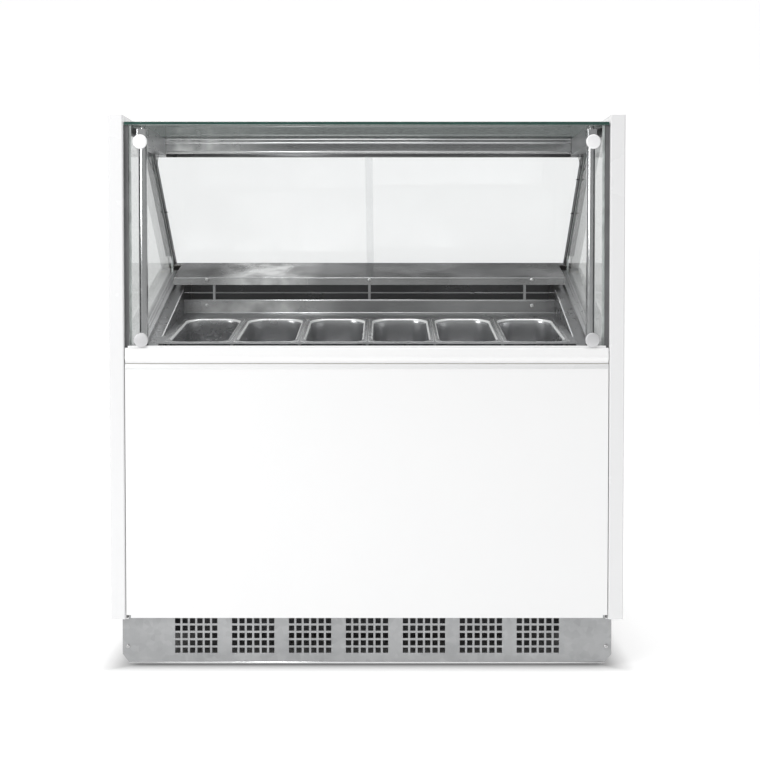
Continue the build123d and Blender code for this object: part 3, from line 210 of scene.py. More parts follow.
def brushed(name, bright, dark, rough, along="X", cloud_scale=3.0, depth=0.05, edge=1.0, metal=1.0,
            scuffs=0.05, front_face_shading=None, rim_highlight=None, painted_highlight=None):
    """Sheet steel: fine grain one way, slow cloudy painted reflections in the base colour, light scuffs.

    front_face_shading gives the faces that look front their own tone, painted light on the ledge and
    painted shade on the liner;
    rim_highlight paints the rounded edges round an opening near white as a painted highlight; and
    painted_highlight (middle along X, reach, tone) paints soft bright clouds of painted reflection onto one
    stretch.
    """
    tree = Tree(name)
    shader = tree.shader(bright, rough, metal=metal, Anisotropic=0.4, Specular_Tint=(edge, edge, edge, 1))
    grain = tree.noise(1, 3, 0.5, GRAIN[along])
    cloud = tree.noise(cloud_scale, 4, 0.5)
    scuff = tree.noise(26, 5, 0.65, SCUFF_STRETCH)
    # painted reflection: the base colour wanders in slow clouds between the dark and bright tones, with a
    # little grain
    mottle = tree.total(tree.span(cloud, 0, 0.85, 0.36, 0.64), tree.span(grain, 0, 0.15))
    tone = tree.blend(mottle, dark, bright)
    normal = tree.axes("Normal")
    # painted light and shade: faces that look front take their own tone, lighter on the ledge, darker on
    # the liner
    if front_face_shading:
        looks_front = tree.span(normal["Y"], 1, 0, -0.95, -0.75)
        tone = tree.cross(looks_front, tone, tree.blend(mottle, toned(front_face_shading, 0.6), front_face_shading))
    # painted highlight: soft bright clouds of reflection painted into the base colour along one stretch,
    # with less metal there
    if painted_highlight:
        middle, reach, highlight_level = painted_highlight
        away = tree.size_of(tree.total(tree.axes("Object")["X"], middle, "SUBTRACT"))
        clouds = tree.span(tree.noise(16, 2, 0.4), 0.40, 1, 0.38, 0.64)
        highlight_patch = tree.total(tree.span(away, 1, 0, reach * 0.3, reach), clouds, "MULTIPLY")
        highlight_color = (highlight_level, highlight_level, highlight_level)
        tone = tree.cross(highlight_patch, tone, tree.blend(mottle, toned(highlight_color, 0.9), highlight_color))
        tree.join(tree.span(highlight_patch, metal, 0.35, 0, 1), shader.inputs["Metallic"])
    # painted highlight: the rounded rim edges take a near-white, less metallic tone
    if rim_highlight:
        leaving_wall = tree.span(normal["Z"], 0, 1, 0.22, 0.40)
        before_rim = tree.span(normal["Z"], 1, 0, 0.90, 0.97)
        rounded = tree.total(leaving_wall, before_rim, "MULTIPLY")
        tone = tree.cross(rounded, tone, tree.blend(mottle, toned(rim_highlight, 0.9), rim_highlight))
        tree.join(tree.span(rounded, metal, 0.25, 0, 1), shader.inputs["Metallic"])
    tree.join(tone, shader.inputs["Base Color"])
    worn = tree.span(cloud, rough + 0.05, rough - 0.03)
    tree.join(tree.total(worn, tree.span(scuff, -0.6 * scuffs, scuffs)), shader.inputs["Roughness"])
    tree.bump(tree.total(grain, tree.total(scuff, 0.5, "MULTIPLY")), depth, FINE_RELIEF, shader)
    return tree.material


def galvanised(name):
    """Kick plate sheet: small crystal spangle in slow clouds over a faint rolled grain."""
    tree = Tree(name)
    shader = tree.shader((0.4, 0.405, 0.41), 0.42, metal=0.75)
    place = tree.add("ShaderNodeTexCoord")
    spangle = tree.add("ShaderNodeTexVoronoi")
    spangle.inputs["Scale"].default_value = SPANGLE
    tree.join(place.outputs["Object"], spangle.inputs["Vector"])
    gray = tree.add("ShaderNodeSeparateColor")
    tree.join(spangle.outputs["Color"], gray.inputs[0])
    cloud = tree.noise(4, 5, 0.6, (1, 1, 2))
    mix = tree.total(tree.span(cloud, 0, 0.7), tree.span(gray.outputs[0], 0, 0.3, 0, 1))
    tree.join(tree.blend(mix, (0.33, 0.335, 0.34), (0.48, 0.485, 0.49)), shader.inputs["Base Color"])
    tree.join(tree.span(gray.outputs[1], 0.36, 0.52, 0, 1), shader.inputs["Roughness"])
    tree.bump(tree.noise(1, 3, 0.6, ROLLED_GRAIN), 0.15, 0.0002, shader)
    return tree.material


def plastic(name, color, shade, rough, **sockets):
    """Moulded plastic or rubber with a fine texture and slow colour drift."""
    tree = Tree(name)
    shader = tree.shader(color, rough, **sockets)
    tree.drift(shader, color, shade, scale=12)
    tree.join(tree.span(tree.noise(40, 4), rough - 0.06, rough + 0.08), shader.inputs["Roughness"])
    tree.bump(tree.noise(MOULDED_GRAIN, 3), 0.12, 0.0004, shader)
    return tree.material


def window_glass(name, edge_axes, edge, tint=(0.975, 0.98, 0.978), gloss=0.9, flat=None):
    """Clear float glass; its cut edges look along edge_axes, and flat is the colour it darkens towards at a
    flat angle, a little its tint and mostly painted reflection.
    """
    tree = Tree(name)
    clear = tree.add("ShaderNodeBsdfTransparent")
    clear.inputs["Color"].default_value = (*tint, 1)
    # painted reflection: at a flat angle the clear part darkens towards flat
    if flat:
        facing = tree.add("ShaderNodeLayerWeight")
        slant = tree.span(facing.outputs["Facing"], 0, 1, 0.70, 0.90)
        tree.join(tree.blend(slant, tint, flat), clear.inputs["Color"])
    mirror = tree.add("ShaderNodeBsdfGlossy")
    mirror.inputs["Color"].default_value = (gloss, gloss, gloss, 1)
    tree.join(tree.span(tree.noise(7, 5, 0.6), 0.010, 0.040), mirror.inputs["Roughness"])
    fresnel = tree.add("ShaderNodeFresnel")
    fresnel.inputs["IOR"].default_value = GLASS_IOR
    surface = tree.add("ShaderNodeNewGeometry")
    entering = tree.span(surface.outputs["Backfacing"], 1, 0, 0, 1)
    reflected = tree.total(fresnel.outputs[0], entering, "MULTIPLY")
    pane = tree.mix_shaders(reflected, clear.outputs[0], mirror.outputs[0])
    rim = tree.shader(edge, 0.2, Coat_Weight=0.3)
    tree.drift(rim, edge, toned(edge, 1.5), scale=30)
    normal = tree.axes("Normal")
    squares = [tree.total(normal[axis], normal[axis], "MULTIPLY") for axis in edge_axes]
    across_pane = squares[0] if len(squares) == 1 else tree.total(squares[0], squares[1])
    on_edge = tree.total(across_pane, 0.5, "GREATER_THAN")
    whole = tree.mix_shaders(on_edge, pane, rim.outputs[0])
    tree.join(whole, tree.output.inputs["Surface"])
    return tree.material


def foam_skin():
    """Bare polyurethane foam, yellowish and pitted."""
    tree = Tree("foam")
    shader = tree.shader((0.80, 0.74, 0.55), 0.8)
    tree.drift(shader, (0.72, 0.64, 0.44), (0.84, 0.79, 0.62), scale=25, detail=6)
    tree.bump(tree.noise(120, 6), 0.5, 0.002, shader)
    return tree.material


def lamp_lens():
    """Milky lamp cover, softly lit from inside."""
    tree = Tree("lamp_lens")
    shader = tree.shader((0.92, 0.93, 0.9), 0.35, Emission_Color=(1, 0.98, 0.94, 1), Emission_Strength=1.2)
    tree.drift(shader, (0.9, 0.9, 0.88), (0.95, 0.95, 0.93), scale=60, detail=3)
    return tree.material


WHITE = powder_coat("white_paint", (0.90, 0.90, 0.90), (0.885, 0.886, 0.888), 0.30)
FRAME_WHITE = powder_coat("frame_white", (0.83, 0.83, 0.835), (0.81, 0.812, 0.816), 0.26)
STEEL = brushed("satin_steel", (0.50, 0.50, 0.51), (0.30, 0.30, 0.31), 0.30)
# ledge, wall and beam steel carry painted highlight clouds along their left stretch
LEDGE_STEEL = brushed("ledge_steel", (0.52, 0.52, 0.525), (0.16, 0.16, 0.162), 0.22, cloud_scale=4.2, edge=0.4,
                      scuffs=0.01, depth=0.02, front_face_shading=(0.58, 0.58, 0.585), painted_highlight=(-0.29, 0.16, 0.92))
WALL_STEEL = brushed("wall_steel", (0.47, 0.47, 0.475), (0.20, 0.20, 0.205), 0.22, cloud_scale=2.6,
                     scuffs=0.02, depth=0.02, painted_highlight=(-0.30, 0.24, 0.66))
BEAM_STEEL = brushed("beam_steel", (0.71, 0.71, 0.72), (0.42, 0.42, 0.43), 0.18, cloud_scale=2.4,
                     scuffs=0.02, depth=0.02, painted_highlight=(-0.56, 0.34, 0.95))
# dark copy of the steel: painted shade along the canopy's lower edge
SHADED_RETURN_STEEL = brushed("return_shade_steel", (0.20, 0.20, 0.205), (0.11, 0.11, 0.112), 0.30)
# near-white copy of the steel: the rolled edges' bright lines are painted highlight
HEM_HIGHLIGHT_STEEL = brushed("hem_highlight_steel", (0.95, 0.95, 0.95), (0.84, 0.84, 0.85), 0.16, metal=0.7)
STEEL_SIDE = brushed("satin_steel_along", (0.80, 0.80, 0.81), (0.56, 0.56, 0.57), 0.30, along="Y", edge=0.7)
# its rounded rim edges are painted near white: painted highlight
PAN_STEEL = brushed("pan_steel", (0.62, 0.62, 0.63), (0.44, 0.44, 0.45), 0.24, along="Y", depth=0.006,
                    metal=0.92, scuffs=0.02, rim_highlight=(0.97, 0.97, 0.97))
TUBE_STEEL = brushed("tube_steel", (0.76, 0.76, 0.77), (0.62, 0.62, 0.63), 0.14, along="Z", depth=0.01)
KICK = galvanised("kick_steel")
CAP = brushed("cap_metal", (0.95, 0.95, 0.955), (0.91, 0.91, 0.915), 0.36, cloud_scale=30, metal=0.2, depth=0.01)
CAP_LOWER = brushed("cap_lower", (0.66, 0.66, 0.67), (0.60, 0.60, 0.61), 0.40, cloud_scale=30, metal=0.4,
                    depth=0.01)
TRACK = brushed("track_aluminium", (0.76, 0.76, 0.77), (0.62, 0.62, 0.63), 0.34)
FINS = brushed("coil_aluminium", (0.30, 0.305, 0.31), (0.18, 0.183, 0.186), 0.4, along="Z")
# its faces that look front are painted dark: painted shade
LINER = brushed("liner_steel", (0.56, 0.56, 0.57), (0.36, 0.36, 0.37), 0.28, along="Y", edge=0.6,
                front_face_shading=(0.12, 0.12, 0.125))
COPPER = brushed("pipe_copper", (0.80, 0.44, 0.28), (0.55, 0.28, 0.16), 0.3, along="Y")
SCREW = brushed("screw_steel", (0.75, 0.75, 0.75), (0.55, 0.55, 0.55), 0.25, cloud_scale=40)
FRAME_PAINT = plastic("frame_paint", (0.05, 0.05, 0.055), (0.08, 0.08, 0.085), 0.5)
SHROUD = plastic("shroud_paint", (0.2, 0.21, 0.22), (0.26, 0.27, 0.28), 0.45)
MOTOR = plastic("motor_paint", (0.06, 0.06, 0.065), (0.1, 0.1, 0.11), 0.45)
COMPRESSOR = plastic("compressor_paint", (0.02, 0.02, 0.022), (0.04, 0.04, 0.045), 0.32)
RUBBER = plastic("seal_rubber", (0.105, 0.106, 0.108), (0.14, 0.142, 0.145), 0.6)
CABLE = plastic("cable_rubber", (0.05, 0.05, 0.052), (0.09, 0.09, 0.092), 0.45)
DARK_PLASTIC = plastic("knob_plastic", (0.03, 0.03, 0.032), (0.05, 0.05, 0.052), 0.42)
FOOT_PLASTIC = plastic("foot_plastic", (0.03, 0.03, 0.03), (0.06, 0.06, 0.06), 0.55)
FAN_PLASTIC = plastic("fan_plastic", (0.035, 0.035, 0.038), (0.06, 0.06, 0.065), 0.4)
GREY_PLASTIC = plastic("grey_plastic", (0.42, 0.42, 0.43), (0.5, 0.5, 0.51), 0.5)
GREEN_KEY = plastic("power_key_plastic", (0.03, 0.32, 0.08), (0.05, 0.42, 0.12), 0.25, Coat_Weight=0.4)
GLAND = plastic("gland_plastic", (0.12, 0.12, 0.125), (0.17, 0.17, 0.175), 0.5)
GLASS_FRONT = window_glass("glass_front", "XZ", (0.45, 0.48, 0.47))
GLASS_TOP = window_glass("glass_top", "XY", (0.015, 0.05, 0.04), gloss=0.5, flat=(0.42, 0.45, 0.44))
GLASS_SIDE = window_glass("glass_side", "YZ", (0.55, 0.58, 0.57), tint=(0.95, 0.955, 0.953), gloss=0.6)
GLASS_DOOR = window_glass("glass_door", "X", (0.40, 0.44, 0.43), tint=(0.948, 0.950, 0.952))
FOAM = foam_skin()
LAMP_LENS = lamp_lens()

NODE_MATERIALS = {
    WHITE: ("front_panel", "front_rail", "side_panel_left", "side_panel_right", "rear_panel"),
    FRAME_WHITE: ("side_frame_left", "side_frame_right"),
    STEEL: ("slot_guard", "pan_support", "service_shelf", "control_panel"),
    LINER: ("inner_liner",),
    LEDGE_STEEL: ("rear_ledge",),
    WALL_STEEL: ("air_wall",),
    BEAM_STEEL: ("rear_beam",),
    STEEL_SIDE: ("side_sills", "side_beams"),
    PAN_STEEL: tuple(f"pan_{number}" for number in range(1, PAN_COUNT + 1)),
    TUBE_STEEL: ("support_tubes",),
    KICK: ("kick_plate",),
    CAP: ("glass_standoffs",),
    TRACK: ("door_tracks", "door_pull_left", "door_pull_right"),
    FINS: ("evaporator_coil", "condenser_coil"),
    COPPER: ("refrigerant_pipes",),
    SCREW: ("panel_screws",),
    FRAME_PAINT: ("base_frame",),
    SHROUD: ("fan_shroud",),
    MOTOR: ("fan_motors",),
    COMPRESSOR: ("compressor",),
    RUBBER: ("glass_seals",),
    CABLE: ("lamp_cables",),
    DARK_PLASTIC: ("thermostat_knob", "lamp_switch"),
    GREEN_KEY: ("power_switch",),
    GLAND: ("mains_gland",),
    FOOT_PLASTIC: ("foot_front_left", "foot_front_right", "foot_rear_left", "foot_rear_right"),
    FAN_PLASTIC: ("evaporator_fan_left", "evaporator_fan_right", "condenser_fan"),
    GREY_PLASTIC: ("evaporation_tray", "drain_pipe"),
    FOAM: ("insulation_body",),
    LAMP_LENS: ("led_batten",),
    GLASS_FRONT: ("front_glass",),
    GLASS_TOP: ("top_glass",),
    GLASS_SIDE: ("side_glass_left", "side_glass_right"),
    GLASS_DOOR: ("door_left", "door_right"),
}
for material, names in NODE_MATERIALS.items():
    for name in names:
        finishes = nodes[name].data.materials
        if not finishes:
            finishes.append(material)
        for index in range(len(finishes)):
            finishes[index] = material


# ---- mesh helpers ----
def islands(node):
    """Corners (low, high) of each separate solid in a CAD node's mesh."""
    shape = bmesh.new()
    shape.from_mesh(nodes[node].data)
    bmesh.ops.remove_doubles(shape, verts=shape.verts, dist=2e-5)
    shape.verts.index_update()
    seen = set()
    found = []
    for start in shape.verts:
        if start.index in seen:
            continue
        seen.add(start.index)
        stack = [start]
        group = []
        while stack:
            vert = stack.pop()
            group.append(vert.co.copy())
            for edge in vert.link_edges:
                other = edge.other_vert(vert)
                if other.index not in seen:
                    seen.add(other.index)
                    stack.append(other)
        low = Vector(min(point[axis] for point in group) for axis in range(3))
        high = Vector(max(point[axis] for point in group) for axis in range(3))
        found.append((low, high))
    shape.free()
    return found


def piece(name, shape_of, material, body, stands_for=()):
    """New smooth mesh piece from (points, faces), riding on a body with a given finish."""
    points, faces = shape_of
    mesh = bpy.data.meshes.new(name)
    mesh.from_pydata([tuple(point) for point in points], [], faces)
    mesh.update()
    shape = bmesh.new()
    shape.from_mesh(mesh)
    bmesh.ops.remove_doubles(shape, verts=shape.verts, dist=1e-6)
    bmesh.ops.recalc_face_normals(shape, faces=shape.faces)
    shape.to_mesh(mesh)
    shape.free()
    for face in mesh.polygons:
        face.use_smooth = True
    mesh.materials.append(material)
    made = bpy.data.objects.new(name, mesh)
    bpy.context.scene.collection.objects.link(made)
    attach(made, body)
    if stands_for:
        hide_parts(*stands_for)


def skin(rings):
    """Points and faces that join a stack of equal closed rings, with both ends capped."""
    count = len(rings[0])
    faces = []
    for level in range(len(rings) - 1):
        for step in range(count):
            following = (step + 1) % count
            faces.append((level * count + step, level * count + following,
                          (level + 1) * count + following, (level + 1) * count + step))
    faces.append(tuple(range(count)))
    faces.append(tuple((len(rings) - 1) * count + step for step in range(count)))
    return [point for ring in rings for point in ring], faces


def merge(parts):
    """One point and face list out of several."""
    points, faces = [], []
    for some_points, some_faces in parts:
        start = len(points)
        points += some_points
        faces += [tuple(start + index for index in face) for face in some_faces]
    return points, faces


def axes_for(direction):
    """Two unit vectors square to a direction."""
    direction = direction.normalized()
    across = direction.cross(Vector((0, 0, 1)))
    if across.length < 0.1:
        across = direction.cross(Vector((0, 1, 0)))
    across.normalize()
    return across, direction.cross(across)


def rounded_ring(half_x, half_y, radius, steps=9):
    """Points of a rounded rectangle round the origin."""
    ring = []
    for corner, (side_x, side_y) in enumerate(((1, 1), (-1, 1), (-1, -1), (1, -1))):
        for step in range(steps + 1):
            angle = math.radians(90 * (corner + step / steps))
            ring.append((side_x * (half_x - radius) + radius * math.cos(angle),
                         side_y * (half_y - radius) + radius * math.sin(angle)))
    return ring


def lathe(centre, direction, profile, steps=32, recess=0.0, recess_r=0.0):
    """Turned shape: profile is (radius, height along the direction); recess cuts a cross in the head."""
    across, up = axes_for(direction)
    along = direction.normalized()
    rings = []
    for radius, height in profile:
        ring = []
        for step in range(steps):
            angle = 2 * math.pi * step / steps
            sink = 0.0
            if radius < recess_r:
                sink = recess * max(0.0, math.cos(4 * angle)) ** 0.5
            ring.append(centre + across * radius * math.cos(angle) + up * radius * math.sin(angle)
                        + along * (height - sink))
        rings.append(ring)
    return skin(rings)


def swept_tube(path, radius, steps=12):
    """Round tube along a smooth list of points."""
    rings = []
    for index, spot in enumerate(path):
        ahead = path[min(index + 1, len(path) - 1)] - path[max(index - 1, 0)]
        across, up = axes_for(ahead)
        rings.append([spot + across * radius * math.cos(2 * math.pi * step / steps)
                      + up * radius * math.sin(2 * math.pi * step / steps) for step in range(steps)])
    return skin(rings)


def bevelled_box(centre, size, axes, bevel):
    """Box on three given axes, its edges cut by a small bevel."""
    rings = []
    half = [length / 2 for length in size]
    for height, inset in ((-half[2], bevel), (-half[2] + bevel, 0), (half[2] - bevel, 0), (half[2], bevel)):
        outline = rounded_ring(half[0] - inset, half[1] - inset, bevel, 2)
        rings.append([centre + axes[0] * u + axes[1] * v + axes[2] * height for u, v in outline])
    return skin(rings)


# ---- ice cream pans ----
PAN_RIM = 0.00155                      # top of the rim above the support
PAN_PROFILE = (                        # inset from the rim's edge, height, corner radius
    (0.0330, -0.1198, 0.028), (0.0255, -0.1180, 0.033), (0.0195, -0.1130, 0.037), (0.0160, -0.1060, 0.039),
    (0.0140, -0.1000, 0.040), (0.0124, -0.0300, 0.042), (0.0112, -0.0095, 0.042), (0.0090, -0.0030, 0.040),
    (0.0060, 0.0001, 0.032), (0.0004, 0.0001, 0.016), (0.0000, 0.0006, 0.016), (0.0003, 0.0012, 0.016),
    (0.0012, 0.00155, 0.016), (0.0022, 0.00150, 0.018), (0.0046, 0.00120, 0.026), (0.0070, 0.00110, 0.034),
    (0.0086, 0.00060, 0.038), (0.0102, -0.0008, 0.041), (0.0114, -0.0030, 0.042), (0.0122, -0.0060, 0.042),
    (0.0126, -0.0095, 0.042), (0.0136, -0.0300, 0.041), (0.0150, -0.0700, 0.040), (0.0162, -0.0985, 0.039),
    (0.0176, -0.1060, 0.038), (0.0210, -0.1125, 0.036), (0.0262, -0.1168, 0.033), (0.0330, -0.1186, 0.028),
)


def dished_pan(name):
    """Deep-drawn pan: rolled rim, soft throat, tapered wall and rounded bottom corners."""
    low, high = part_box(name)
    half_width = (high[0] - low[0]) / 2
    along = Vector((0, math.cos(PAN_TILT), math.sin(PAN_TILT)))
    out = Vector((0, -math.sin(PAN_TILT), math.cos(PAN_TILT)))
    middle = Vector((
        (low[0] + high[0]) / 2,
        high[1] - math.cos(PAN_TILT) * PAN_LENGTH / 2,
        high[2] - math.sin(PAN_TILT) * PAN_LENGTH / 2 - math.cos(PAN_TILT) * PAN_RIM,
    ))
    rings = []
    for inset, height, radius in PAN_PROFILE:
        outline = rounded_ring(half_width - inset, PAN_LENGTH / 2 - inset, radius)
        rings.append([middle + Vector((u, 0, 0)) + along * v + out * height for u, v in outline])
    piece(f"{name}_drawn", skin(rings), PAN_STEEL, name, (name,))


for number in range(1, PAN_COUNT + 1):
    dished_pan(f"pan_{number}")


# ---- stand-off caps ----
def stand_off(low, high):
    """Flat disc head with a soft edge, its stud and the flange against the tube."""
    centre = Vector(((low.x + high.x) / 2, low.y, (low.z + high.z) / 2))
    length = high.y - low.y
    cap = (
        (0.0002, 0.0000), (0.0148, 0.0000), (0.0152, 0.0001), (0.0163, 0.0005), (0.0171, 0.0013),
        (0.0175, 0.0024), (0.0175, 0.0026), (0.0175, 0.0058), (0.0172, 0.0064), (0.0100, 0.0065),
        (0.0100, 0.0110), (0.0050, 0.0110), (0.0050, 0.0170), (0.0090, 0.0170), (0.0090, length),
        (0.0002, length),
    )
    return lathe(centre, Vector((0, 1, 0)), cap, 48)


cap_solids = islands("glass_standoffs")
cap_middle = sum(low.z for low, high in cap_solids) / len(cap_solids)
# the upper caps take a lighter, less metallic finish than the lower caps
for label, finish, above in (("top", CAP, True), ("low", CAP_LOWER, False)):
    turned = merge([stand_off(low, high) for low, high in cap_solids if (low.z > cap_middle) == above])
    piece(f"turned_standoffs_{label}", turned, finish, "cabinet", ("glass_standoffs",))

# ---- screws ----
SCREW_HEAD = (                         # radius, height over the sheet
    (0.0002, 0.0), (0.0049, 0.0), (0.0050, 0.0004), (0.0047, 0.0011), (0.0038, 0.0018), (0.0027, 0.00215),
    (0.0026, 0.0022), (0.0018, 0.0022), (0.0010, 0.0022), (0.0002, 0.0022),
)
CROSS_DEPTH = 0.0011
CROSS_R = 0.0025
REAR_SCREWS_Y = 0.2                    # screws behind this depth face the rear

cross_heads = []
for low, high in islands("panel_screws"):
    on_rear = low.y > REAR_SCREWS_Y
    face_y = low.y if on_rear else high.y
    direction = Vector((0, 1 if on_rear else -1, 0))
    centre = Vector(((low.x + high.x) / 2, face_y, (low.z + high.z) / 2))
    cross_heads.append(lathe(centre, direction, SCREW_HEAD, recess=CROSS_DEPTH, recess_r=CROSS_R))
piece("cross_head_screws", merge(cross_heads), SCREW, "cabinet", ("panel_screws",))

# ---- cable ties and lamp wires on the slanted glass edges ----
CABLE_R = 0.002
CABLE_DROP = 0.002                     # cable's middle below the slanted plane's top edge
CABLE_SINK = 0.007                     # and under the plane itself
CABLE_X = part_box("lamp_cables")[1][0] - CABLE_R
beam_low, beam_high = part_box("rear_beam")
DOOR_ALONG = Vector((0, DOOR_RUN, -DOOR_DROP)) / DOOR_LENGTH
DOOR_OUT = Vector((0, DOOR_DROP, DOOR_RUN)) / DOOR_LENGTH
DOOR_TOP = Vector((0, beam_low[1] + 0.001, beam_low[2]))


def on_cable(side, distance):
    """Middle of a lamp cable, at a distance down the slanted plane."""
    start = Vector((side * CABLE_X, 0, -CABLE_DROP)) + DOOR_TOP
    return start + DOOR_ALONG * distance - DOOR_OUT * CABLE_SINK


TIE_PLACES = (("left", -1, 0.205), ("right_top", 1, 0.075), ("right_low", 1, 0.210))
TIE_BAND = (                           # radius, height along the cable
    (0.0020, -0.0013), (0.0023, -0.0013), (0.0024, -0.0008), (0.0024, 0.0008), (0.0023, 0.0013),
    (0.0020, 0.0013),
)
TIE_LOCK = (0.0032, 0.0042, 0.0036)
TIE_LOCK_AWAY = 0.0038
TIE_TAIL = (0.0042, 0.0009, 0.0022)
TIE_TAIL_AWAY = 0.0072

for label, side, distance in TIE_PLACES:
    spot = on_cable(side, distance)
    inward = Vector((-side, 0, 0))
    tie_axes = (inward, DOOR_OUT, DOOR_ALONG)
    lock = bevelled_box(spot + inward * TIE_LOCK_AWAY, TIE_LOCK, tie_axes, 0.0006)
    tail = bevelled_box(spot + inward * TIE_TAIL_AWAY, TIE_TAIL, tie_axes, 0.0003)
    tie = merge([lathe(spot, DOOR_ALONG, TIE_BAND, 24), lock, tail])
    piece(f"cable_tie_{label}", tie, CABLE, "cabinet")

WIRE_R = 0.0011
WIRE_START_INSET = 0.011               # from the cable's line towards the middle
WIRE_START_FORWARD = 0.013
WIRE_MEETS_CABLE = 0.062               # distance down the slanted plane
WIRE_BOW = 2.2                         # how late the wire turns back to the cable
WIRE_STEPS = 16

for label, side in SIDES:
    start = Vector((side * (CABLE_X - WIRE_START_INSET), DOOR_TOP.y - WIRE_START_FORWARD,
                    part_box("side_beams")[0][2]))
    end = on_cable(side, WIRE_MEETS_CABLE)
    wire = []
    for step in range(WIRE_STEPS + 1):
        fraction = step / WIRE_STEPS
        ease = fraction * fraction * (3 - 2 * fraction)
        spot = start.lerp(end, fraction)
        spot.x = start.x + (end.x - start.x) * ease
        spot.y = start.y + (end.y - start.y) * fraction ** WIRE_BOW
        wire.append(spot)
    piece(f"lamp_wire_{label}", swept_tube(wire, WIRE_R), CABLE, "cabinet")

# ---- rolled edges of the steel sheets ----
HEM_SECTION = ((1.0, 0.0), (0.92, 0.38), (0.71, 0.71), (0.38, 0.92), (0.0, 1.0))
HEM_ROOT = 0.0006                      # how far a hem reaches into its sheet


def rolled_edge(name, half_length, y, z, depth, height, finish=HEM_HIGHLIGHT_STEEL):
    """Half-round hem along X, on the front face of a sheet at a depth y, centred on a height z."""
    outline = [(-depth * u, height / 2 * v) for u, v in reversed(HEM_SECTION)]
    outline += [(-depth * u, -height / 2 * v) for u, v in HEM_SECTION[1:]]
    outline.insert(0, (HEM_ROOT, height / 2))
    outline.append((HEM_ROOT, -height / 2))
    rings = [[Vector((x, y + u, z + v)) for u, v in outline] for x in (-half_length, 0, half_length)]
    piece(name, skin(rings), finish, "cabinet")


wall_low, wall_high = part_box("air_wall")
kick_low, kick_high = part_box("kick_plate")
half_wall = wall_high[0] - 0.001
half_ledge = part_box("inner_liner")[1][0] - 0.001
half_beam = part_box("side_beams")[1][0] - 0.033
half_kick = kick_high[0] - 0.0160
wall_y = wall_low[1]
beam_y = beam_low[1]
rest_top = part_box("pan_support")[1][2]
ledge_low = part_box("rear_ledge")[0][2]

# these rolled edges take the near-white hem steel: painted highlight lines along the sheets
rolled_edge("air_wall_hem", half_wall, wall_y, wall_high[2] - 0.0022, 0.0012, 0.0044)
rolled_edge("support_rear_hem", half_wall, wall_y, rest_top + 0.0026, 0.0012, 0.0042)
rolled_edge("ledge_fold", half_ledge, wall_y, ledge_low + 0.0195, 0.0008, 0.0022)
rolled_edge("canopy_bead_upper", half_beam, beam_y, beam_high[2] - 0.0016, 0.0016, 0.0026)
rolled_edge("canopy_bead_lower", half_beam, beam_y, beam_high[2] - 0.0098, 0.0020, 0.0042)
rolled_edge("canopy_drip", half_beam, beam_y + 0.0045, beam_low[2] + 0.0150, 0.0020, 0.0056)
# dark half-round strip standing for the shade under the canopy's lower edge: painted shade
rolled_edge("canopy_return_shade", half_beam, beam_y, beam_low[2] + 0.0052, 0.0007, 0.0092, SHADED_RETURN_STEEL)
rolled_edge("kick_fold", half_kick, kick_low[1], kick_low[2] + 0.0026, 0.0012, 0.0048)

# ---- rounded inner edges of the well ----
WELL_HALF = 0.5205
WELL_EDGE_R = 0.0018
WELL_EDGE_STEPS = 8

for label, side in SIDES:
    corners = [spot.co.copy() for spot in nodes["inner_liner"].data.vertices
               if abs(spot.co.x - side * WELL_HALF) < 2e-4]
    front_corner = max((spot for spot in corners if spot.y < 0), key=lambda spot: spot.z)
    rear_corner = max(corners, key=lambda spot: spot.z)
    reach = (wall_y - 0.001 - front_corner.y) / (rear_corner.y - front_corner.y)
    edge = [front_corner.lerp(rear_corner, reach * step / WELL_EDGE_STEPS)
            for step in range(WELL_EDGE_STEPS + 1)]
    # the well's edges take the near-white hem steel as a painted highlight
    piece(f"well_edge_{label}", swept_tube(edge, WELL_EDGE_R), HEM_HIGHLIGHT_STEEL, "cabinet")

# ---- narrow strip along the top of the front panel ----
STRIP_HEIGHT = 0.0118
STRIP_THICK = 0.0014
STRIP_MARGIN = 0.0004                  # from the panel's upper edge

panel_low, panel_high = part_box("front_panel")
strip_axes = (Vector((1, 0, 0)), Vector((0, 0, 1)), Vector((0, -1, 0)))
strip_middle = Vector((0, panel_low[1] - 0.0001, panel_high[2] - STRIP_MARGIN - STRIP_HEIGHT / 2))
strip_size = (panel_high[0] - panel_low[0] - 0.004, STRIP_HEIGHT, STRIP_THICK)
strip = bevelled_box(strip_middle, strip_size, strip_axes, 0.0004)
piece("panel_top_strip", strip, FRAME_WHITE, "cabinet")

# ---- dial marks round the thermostat knob ----
PANEL_FOLD = 0.002                     # how far the panel's folded rim stands past its plate
MARK_COUNT = 11
MARK_START = -45                       # degrees
MARK_TURN = 27
MARK_GAP = 0.0065                      # from the knob's edge to the middle of a mark
MARK_LONG = 0.0060                     # every fifth mark
MARK_SHORT = 0.0040

knob_low, knob_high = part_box("thermostat_knob")
plate_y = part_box("control_panel")[1][1] - PANEL_FOLD
knob_middle = Vector(((knob_low[0] + knob_high[0]) / 2, plate_y, (knob_low[2] + knob_high[2]) / 2))
mark_ring = (knob_high[0] - knob_low[0]) / 2 + MARK_GAP
rearward = Vector((0, 1, 0))
marks = []
for step in range(MARK_COUNT):
    angle = math.radians(MARK_START + MARK_TURN * step)
    outward = Vector((math.cos(angle), 0, math.sin(angle)))
    beside = Vector((-math.sin(angle), 0, math.cos(angle)))
    length = MARK_LONG if step % 5 == 0 else MARK_SHORT
    spot = knob_middle + outward * mark_ring + rearward * 0.0001
    marks.append(bevelled_box(spot, (length, 0.0012, 0.0005), (outward, beside, rearward), 0.0001))
piece("dial_marks", merge(marks), DARK_PLASTIC, "cabinet")

